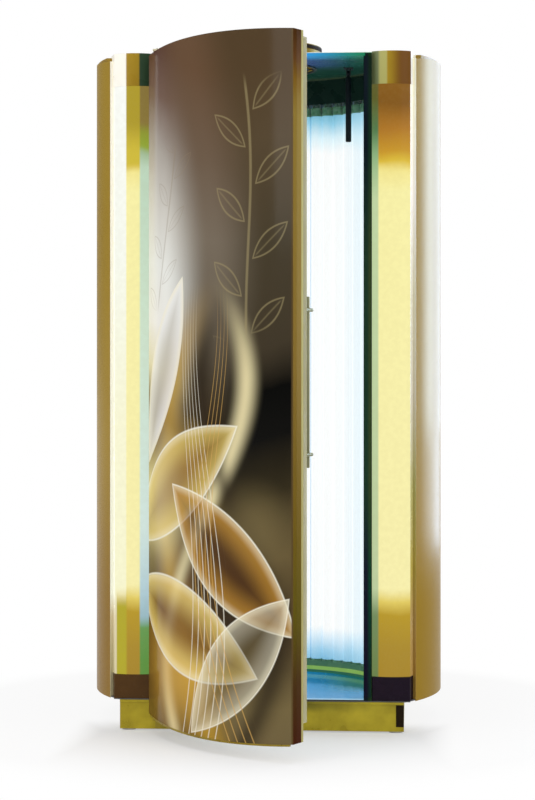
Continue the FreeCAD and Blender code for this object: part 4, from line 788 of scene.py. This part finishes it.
def stage_floor():
    """Pale floor that takes the shadow near the booth and melts into the white further out."""
    s = Sheet("studio_floor")
    grain = s.noise(0.6, 2.0)
    colour = s.mix(grain, (0.90, 0.90, 0.905, 1), (0.93, 0.93, 0.935, 1))
    material = s.surface(colour, s.fade(grain, 0.3, 0.7, 0.55, 0.65), Specular_IOR_Level=0.1)
    shader = s.out.inputs["Surface"].links[0].from_socket
    radius = s.hypotenuse(s.x, s.y)
    path = s.add("ShaderNodeLightPath")
    seen = s.math("MAXIMUM", path.outputs["Is Camera Ray"], path.outputs["Is Glossy Ray"])
    seen = s.math("MAXIMUM", seen, path.outputs["Is Transmission Ray"])
    white = s.add("ShaderNodeEmission")
    blend = s.add("ShaderNodeMixShader")
    further = s.fade(radius, 0.45, 1.30, 0.24, 1.0)
    behind = s.fade(s.y, -0.52, -0.12, 0.0, 0.88)
    beside = s.fade(absolute(s, s.x), 0.42, 0.62, 0.0, 0.88)
    white_share = s.math("MAXIMUM", s.math("MAXIMUM", further, behind), beside)
    s.put(blend.inputs[0], s.math("MULTIPLY", seen, white_share))
    s.put(blend.inputs[1], shader)
    s.put(blend.inputs[2], white.outputs[0])
    s.put(s.out.inputs["Surface"], blend.outputs[0])
    size = 60.0
    mesh = bpy.data.meshes.new("studio_floor")
    mesh.from_pydata([(-size, -size, 0), (size, -size, 0), (size, size, 0), (-size, size, 0)], [],
                     [(0, 1, 2, 3)])
    mesh.materials.append(material)
    floor = bpy.data.objects.new("studio_floor", mesh)
    bpy.context.scene.collection.objects.link(floor)


def white_world():
    """White to the camera, plain grey as light, and darker on the left where it is mirrored."""
    grey_light = (0.54, 0.545, 0.56, 1)
    world = bpy.data.worlds.new("studio_white")
    world.use_nodes = True
    tree = world.node_tree
    tree.nodes.clear()
    out = tree.nodes.new("ShaderNodeOutputWorld")
    back = tree.nodes.new("ShaderNodeBackground")
    path = tree.nodes.new("ShaderNodeLightPath")
    mirrored = tree.nodes.new("ShaderNodeMath")
    mirrored.operation = "MAXIMUM"
    tree.links.new(path.outputs["Is Glossy Ray"], mirrored.inputs[0])
    tree.links.new(path.outputs["Is Transmission Ray"], mirrored.inputs[1])
    direction = tree.nodes.new("ShaderNodeTexCoord")
    split = tree.nodes.new("ShaderNodeSeparateXYZ")
    tree.links.new(direction.outputs["Generated"], split.inputs[0])
    level = tree.nodes.new("ShaderNodeMapRange")
    level.interpolation_type = "SMOOTHSTEP"
    for name, value in (("From Min", -0.75), ("From Max", -0.05), ("To Min", 0.12), ("To Max", 0.76)):
        level.inputs[name].default_value = value
    tree.links.new(split.outputs[0], level.inputs[0])
    lit = tree.nodes.new("ShaderNodeMix")
    lit.data_type = "RGBA"
    lit.inputs[6].default_value = grey_light
    tree.links.new(mirrored.outputs[0], lit.inputs[0])
    tree.links.new(level.outputs[0], lit.inputs[7])
    seen = tree.nodes.new("ShaderNodeMix")
    seen.data_type = "RGBA"
    seen.inputs[7].default_value = (1, 1, 1, 1)
    tree.links.new(path.outputs["Is Camera Ray"], seen.inputs[0])
    tree.links.new(lit.outputs[2], seen.inputs[6])
    tree.links.new(seen.outputs[2], back.inputs["Color"])
    back.inputs["Strength"].default_value = 1.0
    tree.links.new(back.outputs[0], out.inputs["Surface"])
    bpy.context.scene.world = world


def softbox(name, place, target, width, height, watts, tint=(1, 1, 1), mirrored_only=False):
    """Rectangular lamp. One that is mirrored only shows in reflections and gives no diffuse light."""
    light = bpy.data.lights.new(name, "AREA")
    light.shape = "RECTANGLE"
    light.size = width
    light.size_y = height
    light.energy = watts
    light.color = tint
    lamp = bpy.data.objects.new(name, light)
    lamp.location = place
    lamp.rotation_euler = (Vector(target) - Vector(place)).to_track_quat("-Z", "Y").to_euler()
    lamp.visible_camera = False
    lamp.visible_diffuse = not mirrored_only
    bpy.context.scene.collection.objects.link(lamp)


stage_floor()
white_world()

# Lamps' targets: the booth's middle, and the right shell's front edge
MIDDLE = (0, 0, 1.1)
SHELL_EDGE = (0.52, -0.20, 1.68)
softbox("key_left", (-3.4, -4.2, 3.0), MIDDLE, 2.4, 2.4, 75)
softbox("fill_right", (3.6, -3.6, 2.2), MIDDLE, 2.0, 2.4, 30)
softbox("rim_near", (1.65, 0.93, 1.74), SHELL_EDGE, 0.42, 1.7, 25, (0.55, 0.75, 1.0), True)
softbox("rim_far", (1.22, 1.24, 1.74), SHELL_EDGE, 0.68, 1.7, 13, (0.60, 0.76, 1.0), True)
softbox("rim_low", (1.46, 1.09, 0.66), (0.52, -0.20, 0.74), 1.0, 0.45, 6, (0.60, 0.76, 1.0), True)
softbox("top", (0.0, -0.6, 4.6), (0, -0.2, 0), 3.0, 3.0, 50)

# Camera: level, at the height and distance from which the photo was taken
TURN = math.radians(4.0)
DISTANCE = 6.82
EYE_HEIGHT = 1.159
camera = bpy.data.cameras.new("camera")
camera.lens = 92.25
camera.sensor_width = 36.0
camera.shift_x = -0.0016
camera.shift_y = -0.0437
eye = bpy.data.objects.new("camera", camera)
eye.location = (DISTANCE * math.sin(TURN), -DISTANCE * math.cos(TURN), EYE_HEIGHT)
eye.rotation_euler = (math.radians(90), 0, TURN)
bpy.context.scene.collection.objects.link(eye)
bpy.context.scene.camera = eye
bpy.context.scene.view_settings.view_transform = "Standard"
